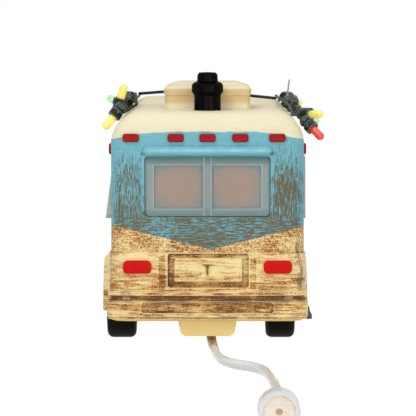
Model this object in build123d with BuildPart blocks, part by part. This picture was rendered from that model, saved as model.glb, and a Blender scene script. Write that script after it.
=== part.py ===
from build123d import *

import os
from math import atan2, cos, hypot, radians, sin, sqrt, tan

# Small lit model of a motorhome, about 1:31 of the real vehicle, in millimetres.
# X points to the vehicle's right, Y forward, Z up; the floor is at Z = 0.

# Body shell
overall_length = 200.0        # rear bumper to front bumper
body_width = 74.6
wall = 3.0                    # shell thickness
sill_z = 12.9                 # lower edge of the walls
belt_z = 47.0                 # height where the front starts to lean back
split_z = 80.0                # seam between walls and roof cap
roof_z = 92.0                 # top of the roof
windscreen_lean = 7.0         # set-back of the front between belt and roof
roof_edge_r = 12.4            # rounding along the sides of the roof
rear_edge_r = 6.4             # rounding round the rear face
front_edge_r = 8.0            # rounding round the front face
belt_bend_r = 60.0            # soft bend between the nose and the windscreen
rear_reach = 2.4              # rear bumper stands this far behind the rear wall
front_reach = 3.4             # front bumper stands this far before the front wall
rear_y = -overall_length / 2 + rear_reach
front_y = overall_length / 2 - front_reach
body_length = front_y - rear_y
side_x = body_width / 2
edge_x = side_x - roof_edge_r
edge_z = roof_z - roof_edge_r


def along(share):
    """Y at a share of the body's length from the rear wall."""
    return rear_y + share * body_length


pick = 0.01                   # tolerance for picking faces and edges by their place

# Clearances
glue_gap = 0.2                # round inserts set into openings
seat_gap = 0.02               # between curved faces that seat on each other
running_gap = 0.05            # axle in its beam, on the radius
wheel_gap = 2.2               # wheel to arch, on the radius

# Wheels and axles
wheel_r = 13.0
wheel_width = 11.5
half_track = 31.6             # axle's middle to the middle of a tread
rim_r = 8.2
axle_r = 1.2
axle_z = wheel_r
rear_axle_y = along(0.204)
front_axle_y = along(0.811)
axle_ys = (rear_axle_y, front_axle_y)
rear_axle_shift = -2.6        # the rear wheels sit to the left in their end play
arch_r = wheel_r + wheel_gap
flare_base_r = 23.4
flare_top_r = 19.2
# side, how far its flares stand out; the right ones are shallower, behind the entry step
flare_reaches = ((-1, 3.8), (1, 2.0))

# Base plate
base_z = 11.1                 # underside
base_inset = 0.4
beam_width = 8.0
beam_top = 17.0
tub_wall = 1.2
tub_inner_x = 21.6
tub_mouth = 9.6               # height of the cut that opens a tub downwards
pad_size = (44.0, 62.0)       # flat pad under the middle of the base
pad_drop = 0.6

# Openings in the walls
rear_window = dict(width=48.4, low=51.5, high=74.7, radius=1.5, edge=0.45)
windscreen = dict(width=54.0, low=52.0, high=76.0, radius=2.0, post=4.4, rim=5.0, pane_r=1.4)
# the entry step stands just before the flare of the rear wheel, with the door over it
step = dict(width=26.0, plate=1.0, wall_gap=0.1, flare_gap=1.7)
step_y = rear_axle_y + flare_base_r + step["flare_gap"] + step["width"] / 2
door = dict(y=step_y, width=22.0, low=16.0, high=76.0, radius=2.0)
door_window = dict(width=13.0, low=52.0, high=71.0, radius=1.5)
window_r = 1.5
window_low = 49.3
window_high = 74.0
window_rim = 5.0              # frame round a side pane, both edges together
window_pane_r = 1.2
door_window_gap = 9.0         # wall between the door and the long window before it
long_window_y = door["y"] + door["width"] / 2 + door_window_gap
# side, y of the rear end and of the front end, how far the pane's head and its foot stand out
side_windows = (
    (-1, along(0.0885), along(0.2375), -0.6, 2.6),
    (-1, along(0.3325), along(0.5175), -0.6, 2.6),
    (-1, along(0.595), along(0.749), -0.6, 2.6),
    (-1, along(0.819), along(0.927), -1.2, -1.2),
    (1, along(0.0885), along(0.2375), 0.9, 1.1),
    (1, long_window_y, along(0.709), 0.9, 1.1),
    (1, along(0.819), along(0.927), -1.2, -1.2),
)
pane_set_back = 1.2           # fixed panes behind the wall face

# Lamps: x of the middle along a row; sizes are width, height, depth, corner and edge rounding
rear_marker_xs = (-29.5, -12.2, 0.0, 12.6, 26.8)
front_marker_xs = (-24.0, -11.0, 0.0, 11.0, 24.0)
marker_size = (6.3, 3.2, 1.2, 1.0, 0.6)
marker_rise = 1.95            # middle of the marker rows over the roof seam
side_marker_size = (5.2, 4.4, 1.0, 1.8, 0.7)
side_marker_ahead = 5.0       # before the rounding of the rear
side_marker_drop = 2.8        # under the roof seam
tail_lamp_x = 27.1
tail_lamp_size = (11.0, 5.1, 1.7, 1.8, 1.0)
tail_lamp_z = 32.2
turn_lamp_size = (6.4, 2.6, 1.2, 1.0, 0.5)
turn_lamp_drop = 7.8          # under the headlamps

# Light string: socket and bulb sizes
socket_r = 2.6
socket_back_r = 1.9
socket_len = 6.4
well_depth = 1.4
bulb_r = 1.6
bulb_len = 7.4
wire_r = 0.6
string_gap = 0.3              # sockets and wire over the roof
wire_bend_r = 1.8
wire_slack = 0.86             # wire behind the back of a socket

# Power cord
cord_r = 1.9
floor_gap = 0.05

os.makedirs("parts", exist_ok=True)

lean = atan2(windscreen_lean, roof_z - belt_z)
rear_plane = Plane(origin=(0, rear_y, 0), x_dir=(1, 0, 0), z_dir=(0, -1, 0))
nose_plane = Plane(origin=(0, front_y, 0), x_dir=(-1, 0, 0), z_dir=(0, 1, 0))
lean_plane = Plane(
    origin=(0, front_y, belt_z), x_dir=(-1, 0, 0), z_dir=(0, cos(lean), sin(lean))
)


def side_plane(side, y, z):
    """Work plane on a side wall, its first axis along Y and its second up."""
    return Plane(origin=(side * side_x, y, z), x_dir=(0, side, 0), z_dir=(side, 0, 0))


def cross_plane(y):
    """Work plane across the vehicle, its first axis along X and its second up."""
    return Plane(origin=(0, y, 0), x_dir=(1, 0, 0), z_dir=(0, -1, 0))


def on_plane(plane, x, y):
    """The plane moved along its own first two axes."""
    return Plane(plane * Location((x, y, 0)))


def on_lean(x, z):
    """Work plane on the leaning front, at the height z."""
    return on_plane(lean_plane, -x, (z - belt_z) / cos(lean))


def body_block(inset):
    """Solid of the body moved in by inset: a rounded section with a leaning front."""
    half = side_x - inset
    top = roof_z - inset
    edge_r = roof_edge_r - inset
    back = rear_y + inset
    nose = front_y - inset
    with BuildPart() as block:
        with BuildSketch(cross_plane(back)):
            with BuildLine():
                FilletPolyline(
                    (-half, sill_z), (-half, top), (half, top), (half, sill_z), radius=edge_r
                )
                Line((half, sill_z), (-half, sill_z))
            make_face()
        extrude(amount=-(nose - back))
        split(bisect_by=lean_plane.offset(-inset), keep=Keep.BOTTOM)
        level = block.edges().filter_by(Axis.X)
        belt = [e for e in level if e.center().Y > nose - 1 and e.center().Z > sill_z + 1]
        fillet(belt, belt_bend_r)
        rear_face = block.faces().sort_by(Axis.Y)[0]
        rear_rim = [e for e in rear_face.edges() if e.center().Z > sill_z + 0.1]
        fillet(rear_rim, rear_edge_r - inset)
        front_faces = block.faces().filter_by(lambda f: f.normal_at().Y > 0.9)
        front_rim = [e for e in front_faces.edges() if abs(e.center().X) > 1 or e.center().Z > top - 1]
        fillet(front_rim, front_edge_r - inset)
    return block.part


def plan_outline(inset, set_back=0.0):
    """Closed outline of the body from above, moved in by inset, its front moved back."""
    half = side_x - inset
    back = rear_y + inset
    front = front_y - inset - set_back
    corners = ((-half, back), (half, back), (half, front), (-half, front))
    rear_r = rear_edge_r - inset
    front_r = front_edge_r - inset
    return FilletPolyline(*corners, radius=[rear_r, rear_r, front_r, front_r], close=True)


body_outer = body_block(0)
body_inner = body_block(wall)

# Body walls: hollow shell with its openings, flares, brow and lamp pads
rear_z_mid = (rear_window["low"] + rear_window["high"]) / 2
rear_z_size = rear_window["high"] - rear_window["low"]
front_z_mid = (windscreen["low"] + windscreen["high"]) / 2
front_z_size = windscreen["high"] - windscreen["low"]
door_z_mid = (door["low"] + door["high"]) / 2
door_z_size = door["high"] - door["low"]
window_z_mid = (window_low + window_high) / 2
brow = dict(width=50.0, height=3.6, z=77.0, reach=1.8, corner=1.6, edge=1.2)
hatch_recess = dict(width=31.4, height=13.2, x=0.3, z=30.7, depth=1.4, corner=1.2)

# Lamp pads: raised panels beside the hatch that wrap the rear corners, sloped at the top and inside
pad = dict(inner_x=16.4, low=22.9, high=37.4, reach=0.7, wrap=8.0, slope_x=2.4, slope_z=1.4)
pad_outer = body_block(-pad["reach"])
pad_ahead = rear_y + pad["wrap"]
pad_behind = rear_y - pad["wrap"]
pad_face = rear_y - pad["reach"]
with BuildPart() as lamp_pads:
    with BuildSketch(Plane.YZ):
        with BuildLine():
            Polyline(
                (pad_ahead, pad["low"]), (pad_ahead, pad["high"]), (rear_y, pad["high"]),
                (pad_face, pad["high"] - pad["slope_z"]), (pad_behind, pad["high"] - pad["slope_z"]),
                (pad_behind, pad["low"]), close=True,
            )
        make_face()
    extrude(amount=body_width, both=True)
    with BuildSketch(Plane.XY):
        with BuildLine():
            foot_x = pad["inner_x"]
            face_x = foot_x + pad["slope_x"]
            Polyline(
                (-foot_x, 2 * pad_ahead - pad_behind), (-foot_x, rear_y), (-face_x, pad_face),
                (-face_x, pad_behind), (face_x, pad_behind), (face_x, pad_face), (foot_x, rear_y),
                (foot_x, 2 * pad_ahead - pad_behind), close=True,
            )
        make_face()
    extrude(amount=2 * pad["high"], mode=Mode.SUBTRACT)
    add(pad_outer, mode=Mode.INTERSECT)

with BuildPart() as body_walls:
    add(body_outer)
    add(lamp_pads.part)
    add(body_inner, mode=Mode.SUBTRACT)
    split(bisect_by=Plane.XY.offset(split_z), keep=Keep.BOTTOM)
    for side, reach in flare_reaches:
        for y in axle_ys:
            with Locations(side_plane(side, y, axle_z)):
                Cone(
                    flare_base_r, flare_top_r, reach,
                    align=(Align.CENTER, Align.CENTER, Align.MIN),
                )
    with Locations((0, 0, sill_z)):
        Box(
            2 * body_width, 2 * overall_length, 2 * flare_base_r,
            align=(Align.CENTER, Align.CENTER, Align.MAX), mode=Mode.SUBTRACT,
        )
    for y in axle_ys:
        with Locations(Location((0, y, axle_z), (0, 90, 0))):
            Cylinder(arch_r, 2 * body_width, mode=Mode.SUBTRACT)
    with BuildSketch(on_plane(rear_plane, 0, brow["z"])):
        RectangleRounded(brow["width"], brow["height"], brow["corner"])
    extrude(amount=brow["reach"])
    fillet(body_walls.faces().sort_by(Axis.Y)[0].edges(), brow["edge"])
    with BuildSketch(on_plane(rear_plane, hatch_recess["x"], hatch_recess["z"])):
        RectangleRounded(hatch_recess["width"], hatch_recess["height"], hatch_recess["corner"])
    extrude(amount=-hatch_recess["depth"], mode=Mode.SUBTRACT)
    with BuildSketch(on_plane(rear_plane, 0, rear_z_mid)):
        RectangleRounded(rear_window["width"], rear_z_size, rear_window["radius"])
    extrude(amount=-2 * wall, mode=Mode.SUBTRACT)
    rear_edges = body_walls.edges().filter_by(lambda e: abs(e.center().Y - rear_y) < pick)
    rear_rim = rear_edges.filter_by(
        lambda e: rear_window["low"] - pick < e.center().Z < rear_window["high"] + pick
        and abs(e.center().X) < rear_window["width"] / 2 + pick
    )
    fillet(rear_rim, rear_window["edge"])
    with BuildSketch(on_lean(0, front_z_mid)):
        RectangleRounded(windscreen["width"], front_z_size / cos(lean), windscreen["radius"])
    extrude(amount=-2 * wall, mode=Mode.SUBTRACT)
    for side, start, stop, head_out, foot_out in side_windows:
        with BuildSketch(side_plane(side, (start + stop) / 2, window_z_mid)):
            RectangleRounded(stop - start, window_high - window_low, window_r)
        extrude(amount=-2 * wall, mode=Mode.SUBTRACT)
    with BuildSketch(side_plane(1, door["y"], door_z_mid)):
        RectangleRounded(door["width"], door_z_size, door["radius"])
    extrude(amount=-2 * wall, mode=Mode.SUBTRACT)
body_walls.part.label = "body_walls"
export_step(body_walls.part, "parts/body_walls.step")

# Roof cap, with a lip that sits inside the walls
lip_depth = 3.0
lip_thick = 1.5
with BuildPart() as roof_cap:
    add(body_outer)
    add(body_inner, mode=Mode.SUBTRACT)
    split(bisect_by=Plane.XY.offset(split_z), keep=Keep.TOP)
    lip_back = (split_z - belt_z) * tan(lean)
    with BuildSketch(Plane.XY.offset(split_z + lip_depth)):
        with BuildLine():
            plan_outline(wall + glue_gap, lip_back)
        make_face()
        with BuildLine():
            plan_outline(wall + glue_gap + lip_thick, lip_back)
        make_face(mode=Mode.SUBTRACT)
    extrude(amount=-2 * lip_depth)
roof_cap.part.label = "roof_cap"
export_step(roof_cap.part, "parts/roof_cap.step")

# Base plate: floor with axle beams, wheel tubs and a flat pad underneath
with BuildPart() as base_plate:
    with BuildSketch(Plane.XY.offset(base_z)):
        with BuildLine():
            plan_outline(base_inset)
        make_face()
    extrude(amount=sill_z - base_z)
    for y in axle_ys:
        with Locations((0, y, base_z)):
            Box(
                2 * tub_inner_x, beam_width, beam_top - base_z,
                align=(Align.CENTER, Align.CENTER, Align.MIN),
            )
        for side in (-1, 1):
            tub_plane = Plane(
                origin=(side * (tub_inner_x - tub_wall), y, axle_z),
                x_dir=(0, side, 0), z_dir=(side, 0, 0),
            )
            with BuildSketch(tub_plane):
                Circle(arch_r + tub_wall)
            extrude(amount=side_x - wall - glue_gap - tub_inner_x + tub_wall)
            with BuildSketch(tub_plane.offset(tub_wall)):
                Circle(arch_r)
            extrude(amount=side_x, mode=Mode.SUBTRACT)
            with Locations((side * (tub_inner_x + side_x), y, base_z)):
                Box(2 * side_x, 2 * arch_r, tub_mouth, mode=Mode.SUBTRACT)
        with Locations(Location((0, y, axle_z), (0, 90, 0))):
            Cylinder(axle_r + running_gap, 2 * tub_inner_x, mode=Mode.SUBTRACT)
    with Locations((0, 0, base_z)):
        Box(
            2 * body_width, 2 * overall_length, 2 * flare_base_r,
            align=(Align.CENTER, Align.CENTER, Align.MAX), mode=Mode.SUBTRACT,
        )
        Box(*pad_size, pad_drop, align=(Align.CENTER, Align.CENTER, Align.MAX))
base_plate.part.label = "base_plate"
export_step(base_plate.part, "parts/base_plate.step")

# Cord tab: plain tongue under the rear bumper
tab = dict(top=22.6, foot=20.4, low=5.2, y=rear_y + 2.4, thick=3.0, radius=2.6)
with BuildPart() as cord_tab:
    with BuildSketch(cross_plane(tab["y"])):
        with BuildLine():
            FilletPolyline(
                (-tab["top"] / 2, base_z), (-tab["foot"] / 2, tab["low"]),
                (tab["foot"] / 2, tab["low"]), (tab["top"] / 2, base_z),
                radius=tab["radius"],
            )
            Line((tab["top"] / 2, base_z), (-tab["top"] / 2, base_z))
        make_face()
    extrude(amount=tab["thick"] / 2, both=True)
cord_tab.part.label = "cord_tab"
export_step(cord_tab.part, "parts/cord_tab.step")

# Bumpers: bowed bars that wrap the corners, in bands of low, high and inset
bumper = dict(half=38.9, depth=14.0, bow=1.4, corner=4.0)
bumper_bands = (
    (11.9, 12.9, 0.5), (12.9, 18.5, 0.0), (18.5, 19.1, 0.6), (19.1, 21.2, 1.4), (21.2, 22.8, 0.4),
)
bumper_pocket = dict(width=51.0, height=3.9, z=16.4, depth=1.3, corner=1.0)


def bumper_bar(out):
    """Bumper at the rear (out = -1) or the front (out = 1), before the body is cut from it."""
    end_y = out * overall_length / 2
    with BuildPart() as bar:
        for low, high, inset in bumper_bands:
            half = bumper["half"] - inset
            tip_y = end_y - out * inset
            corner_y = tip_y - out * bumper["bow"]
            inner_y = end_y - out * bumper["depth"]
            with BuildSketch(Plane.XY.offset(low)) as band:
                with BuildLine():
                    ThreePointArc((-half, corner_y), (0, tip_y), (half, corner_y))
                    Polyline(
                        (half, corner_y), (half, inner_y), (-half, inner_y), (-half, corner_y)
                    )
                make_face()
                outer = [v for v in band.vertices() if out * (v.Y - inner_y) > 1]
                fillet(outer, bumper["corner"])
            extrude(amount=high - low)
        face_plane = Plane(origin=(0, end_y, bumper_pocket["z"]), x_dir=(1, 0, 0), z_dir=(0, out, 0))
        with BuildSketch(face_plane):
            RectangleRounded(bumper_pocket["width"], bumper_pocket["height"], bumper_pocket["corner"])
        extrude(amount=-bumper_pocket["depth"], mode=Mode.SUBTRACT)
    return bar.part


rear_bar = bumper_bar(-1)
with BuildPart() as rear_bumper:
    add(rear_bar)
    add(body_outer, mode=Mode.SUBTRACT)
    add(body_walls.part, mode=Mode.SUBTRACT)
    add(base_plate.part, mode=Mode.SUBTRACT)
rear_bumper.part.label = "rear_bumper"
export_step(rear_bumper.part, "parts/rear_bumper.step")

front_bar = bumper_bar(1)
with BuildPart() as front_bumper:
    add(front_bar)
    add(body_outer, mode=Mode.SUBTRACT)
    add(body_walls.part, mode=Mode.SUBTRACT)
    add(base_plate.part, mode=Mode.SUBTRACT)
front_bumper.part.label = "front_bumper"
export_step(front_bumper.part, "parts/front_bumper.step")

# Rear hatch with its T latch, in a shallow recess
hatch = dict(width=26.8, height=9.3, x=0.3, z=30.9, thick=1.5, corner=1.0, edge=0.5)
latch = dict(bar=(3.8, 1.0), stem=1.5, tip=0.6, length=4.6, z=33.4, proud=0.5)
with BuildPart() as rear_hatch:
    hatch_plane = on_plane(rear_plane, hatch["x"], hatch["z"]).offset(-hatch_recess["depth"])
    with BuildSketch(hatch_plane):
        RectangleRounded(hatch["width"], hatch["height"], hatch["corner"])
    extrude(amount=hatch["thick"])
    chamfer(rear_hatch.faces().sort_by(Axis.Y)[0].edges(), hatch["edge"])
    latch_plane = on_plane(hatch_plane, -hatch["x"], latch["z"] - hatch["z"]).offset(hatch["thick"])
    with BuildSketch(latch_plane):
        Rectangle(*latch["bar"])
        with BuildLine():
            Polyline(
                (-latch["stem"] / 2, 0), (latch["stem"] / 2, 0), (latch["tip"] / 2, -latch["length"]),
                (-latch["tip"] / 2, -latch["length"]), close=True,
            )
        make_face()
    extrude(amount=latch["proud"])
rear_hatch.part.label = "rear_hatch"
export_step(rear_hatch.part, "parts/rear_hatch.step")

# Rear window insert: two panes in a stepped frame
pane = dict(width=19.2, height=16.8, x=11.1, depth=0.7, drop=0.2, corner=1.0)
post_strip = dict(x=1.4, width=0.5, over=1.2, reach=0.5)
with BuildPart() as rear_window_insert:
    insert_plane = on_plane(rear_plane, 0, rear_z_mid).offset(-pane_set_back)
    with BuildSketch(insert_plane):
        RectangleRounded(
            rear_window["width"] - 2 * glue_gap, rear_z_size - 2 * glue_gap, rear_window["radius"]
        )
    extrude(amount=-(wall - pane_set_back))
    for side in (-1, 1):
        pane_plane = on_plane(insert_plane, side * pane["x"], -pane["drop"])
        with BuildSketch(pane_plane):
            RectangleRounded(pane["width"], pane["height"], pane["corner"])
        extrude(amount=-pane["depth"], mode=Mode.SUBTRACT)
        with BuildSketch(on_plane(insert_plane, side * post_strip["x"], -pane["drop"])):
            Rectangle(post_strip["width"], pane["height"] + post_strip["over"])
        extrude(amount=post_strip["reach"])
rear_window_insert.part.label = "rear_window"
export_step(rear_window_insert.part, "parts/rear_window.step")

# Windscreen insert, split by a centre post
with BuildPart() as windscreen_insert:
    screen_plane = on_lean(0, front_z_mid).offset(-pane_set_back)
    screen_height = front_z_size / cos(lean)
    with BuildSketch(screen_plane):
        RectangleRounded(
            windscreen["width"] - 2 * glue_gap, screen_height - 2 * glue_gap, windscreen["radius"]
        )
    extrude(amount=-(wall - pane_set_back))
    for side in (-1, 1):
        with BuildSketch(on_plane(screen_plane, side * windscreen["width"] / 4, 0)):
            RectangleRounded(
                windscreen["width"] / 2 - windscreen["post"], screen_height - windscreen["rim"],
                windscreen["pane_r"],
            )
        extrude(amount=-pane["depth"], mode=Mode.SUBTRACT)
windscreen_insert.part.label = "windscreen"
export_step(windscreen_insert.part, "parts/windscreen.step")


def side_window(side, start, stop, head_out, foot_out):
    """Insert for a side window, its pane leaning from head to foot."""
    y = (start + stop) / 2
    width = stop - start - 2 * glue_gap
    back_x = side * (side_x - wall)
    head_x = side * (side_x + head_out)
    foot_x = side * (side_x + foot_out)
    z_low = window_low + glue_gap
    z_high = window_high - glue_gap
    tilt = atan2(foot_out - head_out, z_high - z_low)
    with BuildPart() as insert:
        with BuildSketch(cross_plane(y - width / 2)):
            with BuildLine():
                Polyline(
                    (back_x, z_low), (foot_x, z_low), (head_x, z_high), (back_x, z_high), close=True
                )
            make_face()
        extrude(amount=-width)
        face_plane = Plane(
            origin=((foot_x + head_x) / 2, y, (z_low + z_high) / 2),
            x_dir=(0, side, 0), z_dir=(side * cos(tilt), 0, sin(tilt)),
        )
        with BuildSketch(face_plane):
            RectangleRounded(
                width - window_rim, (z_high - z_low) / cos(tilt) - window_rim, window_pane_r
            )
        extrude(amount=-pane["depth"], mode=Mode.SUBTRACT)
        fillet(insert.edges().filter_by(Axis.X).filter_by(lambda e: e.length > 1), window_r)
    return insert.part


# Side windows: awning panes, the left ones further open
left_panes = [side_window(*row) for row in side_windows if row[0] < 0]
with BuildPart() as left_windows:
    add(left_panes)
left_windows.part.label = "left_windows"
export_step(left_windows.part, "parts/left_windows.step")

right_panes = [side_window(*row) for row in side_windows if row[0] > 0]
with BuildPart() as right_windows:
    add(right_panes)
right_windows.part.label = "right_windows"
export_step(right_windows.part, "parts/right_windows.step")

# Entry door on the right, as thick as the wall, with its window and handle
door_proud = 0.6
door_edge = 0.4
door_panel = dict(over=2.0, height=22.0, radius=1.2, depth=0.5)
door_plane = side_plane(1, door["y"], door_z_mid)
door_window_z = (door_window["low"] + door_window["high"]) / 2 - door_z_mid
door_window_size = door_window["high"] - door_window["low"]
with BuildPart() as entry_door:
    with BuildSketch(door_plane.offset(-wall)):
        RectangleRounded(
            door["width"] - 2 * glue_gap, door_z_size - 2 * glue_gap, door["radius"]
        )
    extrude(amount=wall + door_proud)
    chamfer(entry_door.faces().sort_by(Axis.X)[-1].edges(), door_edge)
    with BuildSketch(on_plane(door_plane.offset(door_proud), 0, door_window_z)):
        RectangleRounded(door_window["width"], door_window_size, door_window["radius"])
    extrude(amount=-2 * wall, mode=Mode.SUBTRACT)
    with BuildSketch(on_plane(door_plane.offset(door_proud), 0, -door_z_size / 4)):
        RectangleRounded(
            door_window["width"] + door_panel["over"], door_panel["height"], door_panel["radius"]
        )
    extrude(amount=-door_panel["depth"], mode=Mode.SUBTRACT)
entry_door.part.label = "entry_door"
export_step(entry_door.part, "parts/entry_door.step")

with BuildPart() as door_pane:
    with BuildSketch(on_plane(door_plane.offset(-wall), 0, door_window_z)):
        RectangleRounded(
            door_window["width"] - 2 * glue_gap, door_window_size - 2 * glue_gap,
            door_window["radius"],
        )
    extrude(amount=wall - pane_set_back)
door_pane.part.label = "door_window"
export_step(door_pane.part, "parts/door_window.step")

handle = dict(inset=3.5, rise=2.0, width=3.6, height=1.8, corner=0.8, reach=0.9, edge=0.4)
with BuildPart() as door_handle:
    handle_y = handle["inset"] - door["width"] / 2
    with BuildSketch(on_plane(door_plane.offset(door_proud), handle_y, handle["rise"])):
        RectangleRounded(handle["width"], handle["height"], handle["corner"])
    extrude(amount=handle["reach"])
    fillet(door_handle.faces().sort_by(Axis.X)[-1].edges(), handle["edge"])
door_handle.part.label = "door_handle"
export_step(door_handle.part, "parts/door_handle.step")

# Entry step: two treads between side plates that hang on the wall beside the door
# distance out of the wall, height
step_profile = (
    (step["wall_gap"], 28.6), (1.8, 28.6), (3.2, 26.0), (3.2, 9.6), (5.6, 6.0), (5.6, 4.2),
    (1.0, 4.2), (step["wall_gap"], 9.6),
)
# inner and outer distance out of the wall, underside height
treads = ((step["wall_gap"], 3.2, 12.6), (1.0, 5.6, 4.2))
tread_thick = 1.1
with BuildPart() as entry_step:
    for end in (-1, 1):
        with BuildSketch(cross_plane(door["y"] + end * (step["width"] - step["plate"]) / 2)):
            with BuildLine():
                Polyline(*((side_x + out, z) for out, z in step_profile), close=True)
            make_face()
        extrude(amount=step["plate"] / 2, both=True)
    for inner, outer, low in treads:
        with Locations((side_x + inner, door["y"], low)):
            Box(
                outer - inner, step["width"], tread_thick,
                align=(Align.MIN, Align.CENTER, Align.MIN),
            )
entry_step.part.label = "entry_step"
export_step(entry_step.part, "parts/entry_step.step")


def lamp_block(plane, width, height, depth, radius, edge, root=0.0, seat=body_outer):
    """Rounded lamp lens standing on a plane; with a root it is cut to sit on a rounded seat."""
    with BuildPart() as lens:
        with BuildSketch(plane.offset(-root)):
            RectangleRounded(width, height, radius)
        extrude(amount=depth + root)
        out = Axis(plane.origin, plane.z_dir)
        fillet(lens.faces().sort_by(out)[-1].edges(), edge)
        if root > 0:
            add(seat, mode=Mode.SUBTRACT)
    return lens.part


# Lamps at the rear and on the sides
lamp_root = 1.0
tail_lenses = [
    lamp_block(
        on_plane(rear_plane, side * tail_lamp_x, tail_lamp_z).offset(pad["reach"]),
        *tail_lamp_size, lamp_root, pad_outer,
    )
    for side in (-1, 1)
]
with BuildPart() as tail_lamps:
    add(tail_lenses)
tail_lamps.part.label = "tail_lamps"
export_step(tail_lamps.part, "parts/tail_lamps.step")

rear_marker_z = split_z + marker_rise
rear_marker_lenses = [
    lamp_block(on_plane(rear_plane, x, rear_marker_z), *marker_size, lamp_root)
    for x in rear_marker_xs
]
with BuildPart() as rear_marker_lamps:
    add(rear_marker_lenses)
rear_marker_lamps.part.label = "rear_marker_lamps"
export_step(rear_marker_lamps.part, "parts/rear_marker_lamps.step")

side_marker_y = rear_y + rear_edge_r + side_marker_ahead
side_marker_z = split_z - side_marker_drop
side_marker_lenses = [
    lamp_block(side_plane(side, side_marker_y, side_marker_z), *side_marker_size)
    for side in (-1, 1)
]
with BuildPart() as side_marker_lamps:
    add(side_marker_lenses)
side_marker_lamps.part.label = "side_marker_lamps"
export_step(side_marker_lamps.part, "parts/side_marker_lamps.step")

# Front: grille, headlamps in bezels, turn lamps and marker lamps
front_marker_z = split_z + marker_rise
front_marker_lenses = [
    lamp_block(on_lean(x, front_marker_z), *marker_size, lamp_root)
    for x in front_marker_xs
]
with BuildPart() as front_marker_lamps:
    add(front_marker_lenses)
front_marker_lamps.part.label = "front_marker_lamps"
export_step(front_marker_lamps.part, "parts/front_marker_lamps.step")

grille = dict(width=32.0, height=14.0, z=34.0, reach=1.4, rim=1.6, inner_r=0.6)
bar = dict(height=0.9, into_rim=0.6, set_back=0.4)
grille_bars = (-4.4, -2.2, 0.0, 2.2, 4.4)
with BuildPart() as front_grille:
    with BuildSketch(on_plane(nose_plane, 0, grille["z"])):
        RectangleRounded(grille["width"], grille["height"], grille["rim"])
        RectangleRounded(
            grille["width"] - 2 * grille["rim"], grille["height"] - 2 * grille["rim"],
            grille["inner_r"], mode=Mode.SUBTRACT,
        )
    extrude(amount=grille["reach"])
    for rise in grille_bars:
        with BuildSketch(on_plane(nose_plane, 0, grille["z"] + rise)):
            Rectangle(grille["width"] - 2 * (grille["rim"] - bar["into_rim"]), bar["height"])
        extrude(amount=grille["reach"] - bar["set_back"])
front_grille.part.label = "grille"
export_step(front_grille.part, "parts/grille.step")

headlamp = dict(x=24.0, z=34.0, radius=4.2, rim=1.1, reach=1.6, edge=1.0)
with BuildPart() as headlamp_bezels:
    for side in (-1, 1):
        with BuildSketch(on_plane(nose_plane, side * headlamp["x"], headlamp["z"])):
            Circle(headlamp["radius"] + headlamp["rim"])
            Circle(headlamp["radius"] + seat_gap, mode=Mode.SUBTRACT)
        extrude(amount=headlamp["reach"])
headlamp_bezels.part.label = "headlamp_bezels"
export_step(headlamp_bezels.part, "parts/headlamp_bezels.step")

with BuildPart() as headlamps:
    for side in (-1, 1):
        with BuildSketch(on_plane(nose_plane, side * headlamp["x"], headlamp["z"])):
            Circle(headlamp["radius"])
        extrude(amount=headlamp["reach"])
    fillet(headlamps.faces().group_by(Axis.Y)[-1].edges(), headlamp["edge"])
headlamps.part.label = "headlamps"
export_step(headlamps.part, "parts/headlamps.step")

turn_lamp_z = headlamp["z"] - turn_lamp_drop
turn_lenses = [
    lamp_block(on_plane(nose_plane, side * headlamp["x"], turn_lamp_z), *turn_lamp_size)
    for side in (-1, 1)
]
with BuildPart() as turn_lamps:
    add(turn_lenses)
turn_lamps.part.label = "turn_lamps"
export_step(turn_lamps.part, "parts/turn_lamps.step")

# Door mirrors: a head on a bent arm from each cab wall
mirror_set_back = 12.0        # behind the nose
mirror_reach = 6.0            # out of the wall
mirror = dict(z=60.0, width=4.6, height=9.0, thick=1.8, corner=1.2)
mirror_y = front_y - mirror_set_back
mirror_out = side_x + mirror_reach
mirror_arm = dict(thick=0.9, rise=2.6, over=1.0)
mirror_foot = (0.8, 2.0, 8.0)


def door_mirror(side):
    """Mirror head and its two arms on one side."""
    head_x = side * (mirror_out - mirror["width"] / 2)
    arm_mid = side * (side_x + mirror_out - mirror["width"]) / 2
    with BuildPart() as head:
        with Locations((head_x, mirror_y, mirror["z"])):
            Box(mirror["width"], mirror["thick"], mirror["height"])
        fillet(head.edges().filter_by(Axis.Y), mirror["corner"])
        arm_len = mirror_out - side_x - mirror["width"] + mirror_arm["over"]
        for end in (-1, 1):
            with Locations((arm_mid, mirror_y, mirror["z"] + end * mirror_arm["rise"])):
                Box(arm_len, mirror_arm["thick"], mirror_arm["thick"])
        with Locations((side * (side_x + mirror_foot[0] / 2), mirror_y, mirror["z"])):
            Box(*mirror_foot)
        add(body_outer, mode=Mode.SUBTRACT)
    return head.part


mirror_heads = [door_mirror(side) for side in (-1, 1)]
with BuildPart() as mirrors:
    add(mirror_heads)
mirrors.part.label = "mirrors"
export_step(mirrors.part, "parts/mirrors.step")

# Refrigerator vent on the left wall: a louvred panel
vent = dict(y=along(0.55), z=33.0, width=15.0, height=12.0, reach=0.9, corner=0.8)
vent_slot = dict(margin=1.5, height=0.9, depth=0.5)
vent_slats = (-3.6, -1.2, 1.2, 3.6)
with BuildPart() as side_vent:
    with BuildSketch(side_plane(-1, vent["y"], vent["z"])):
        RectangleRounded(vent["width"], vent["height"], vent["corner"])
    extrude(amount=vent["reach"])
    for rise in vent_slats:
        with BuildSketch(side_plane(-1, vent["y"], vent["z"] + rise).offset(vent["reach"])):
            Rectangle(vent["width"] - 2 * vent_slot["margin"], vent_slot["height"])
        extrude(amount=-vent_slot["depth"], mode=Mode.SUBTRACT)
side_vent.part.label = "side_vent"
export_step(side_vent.part, "parts/side_vent.step")

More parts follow.
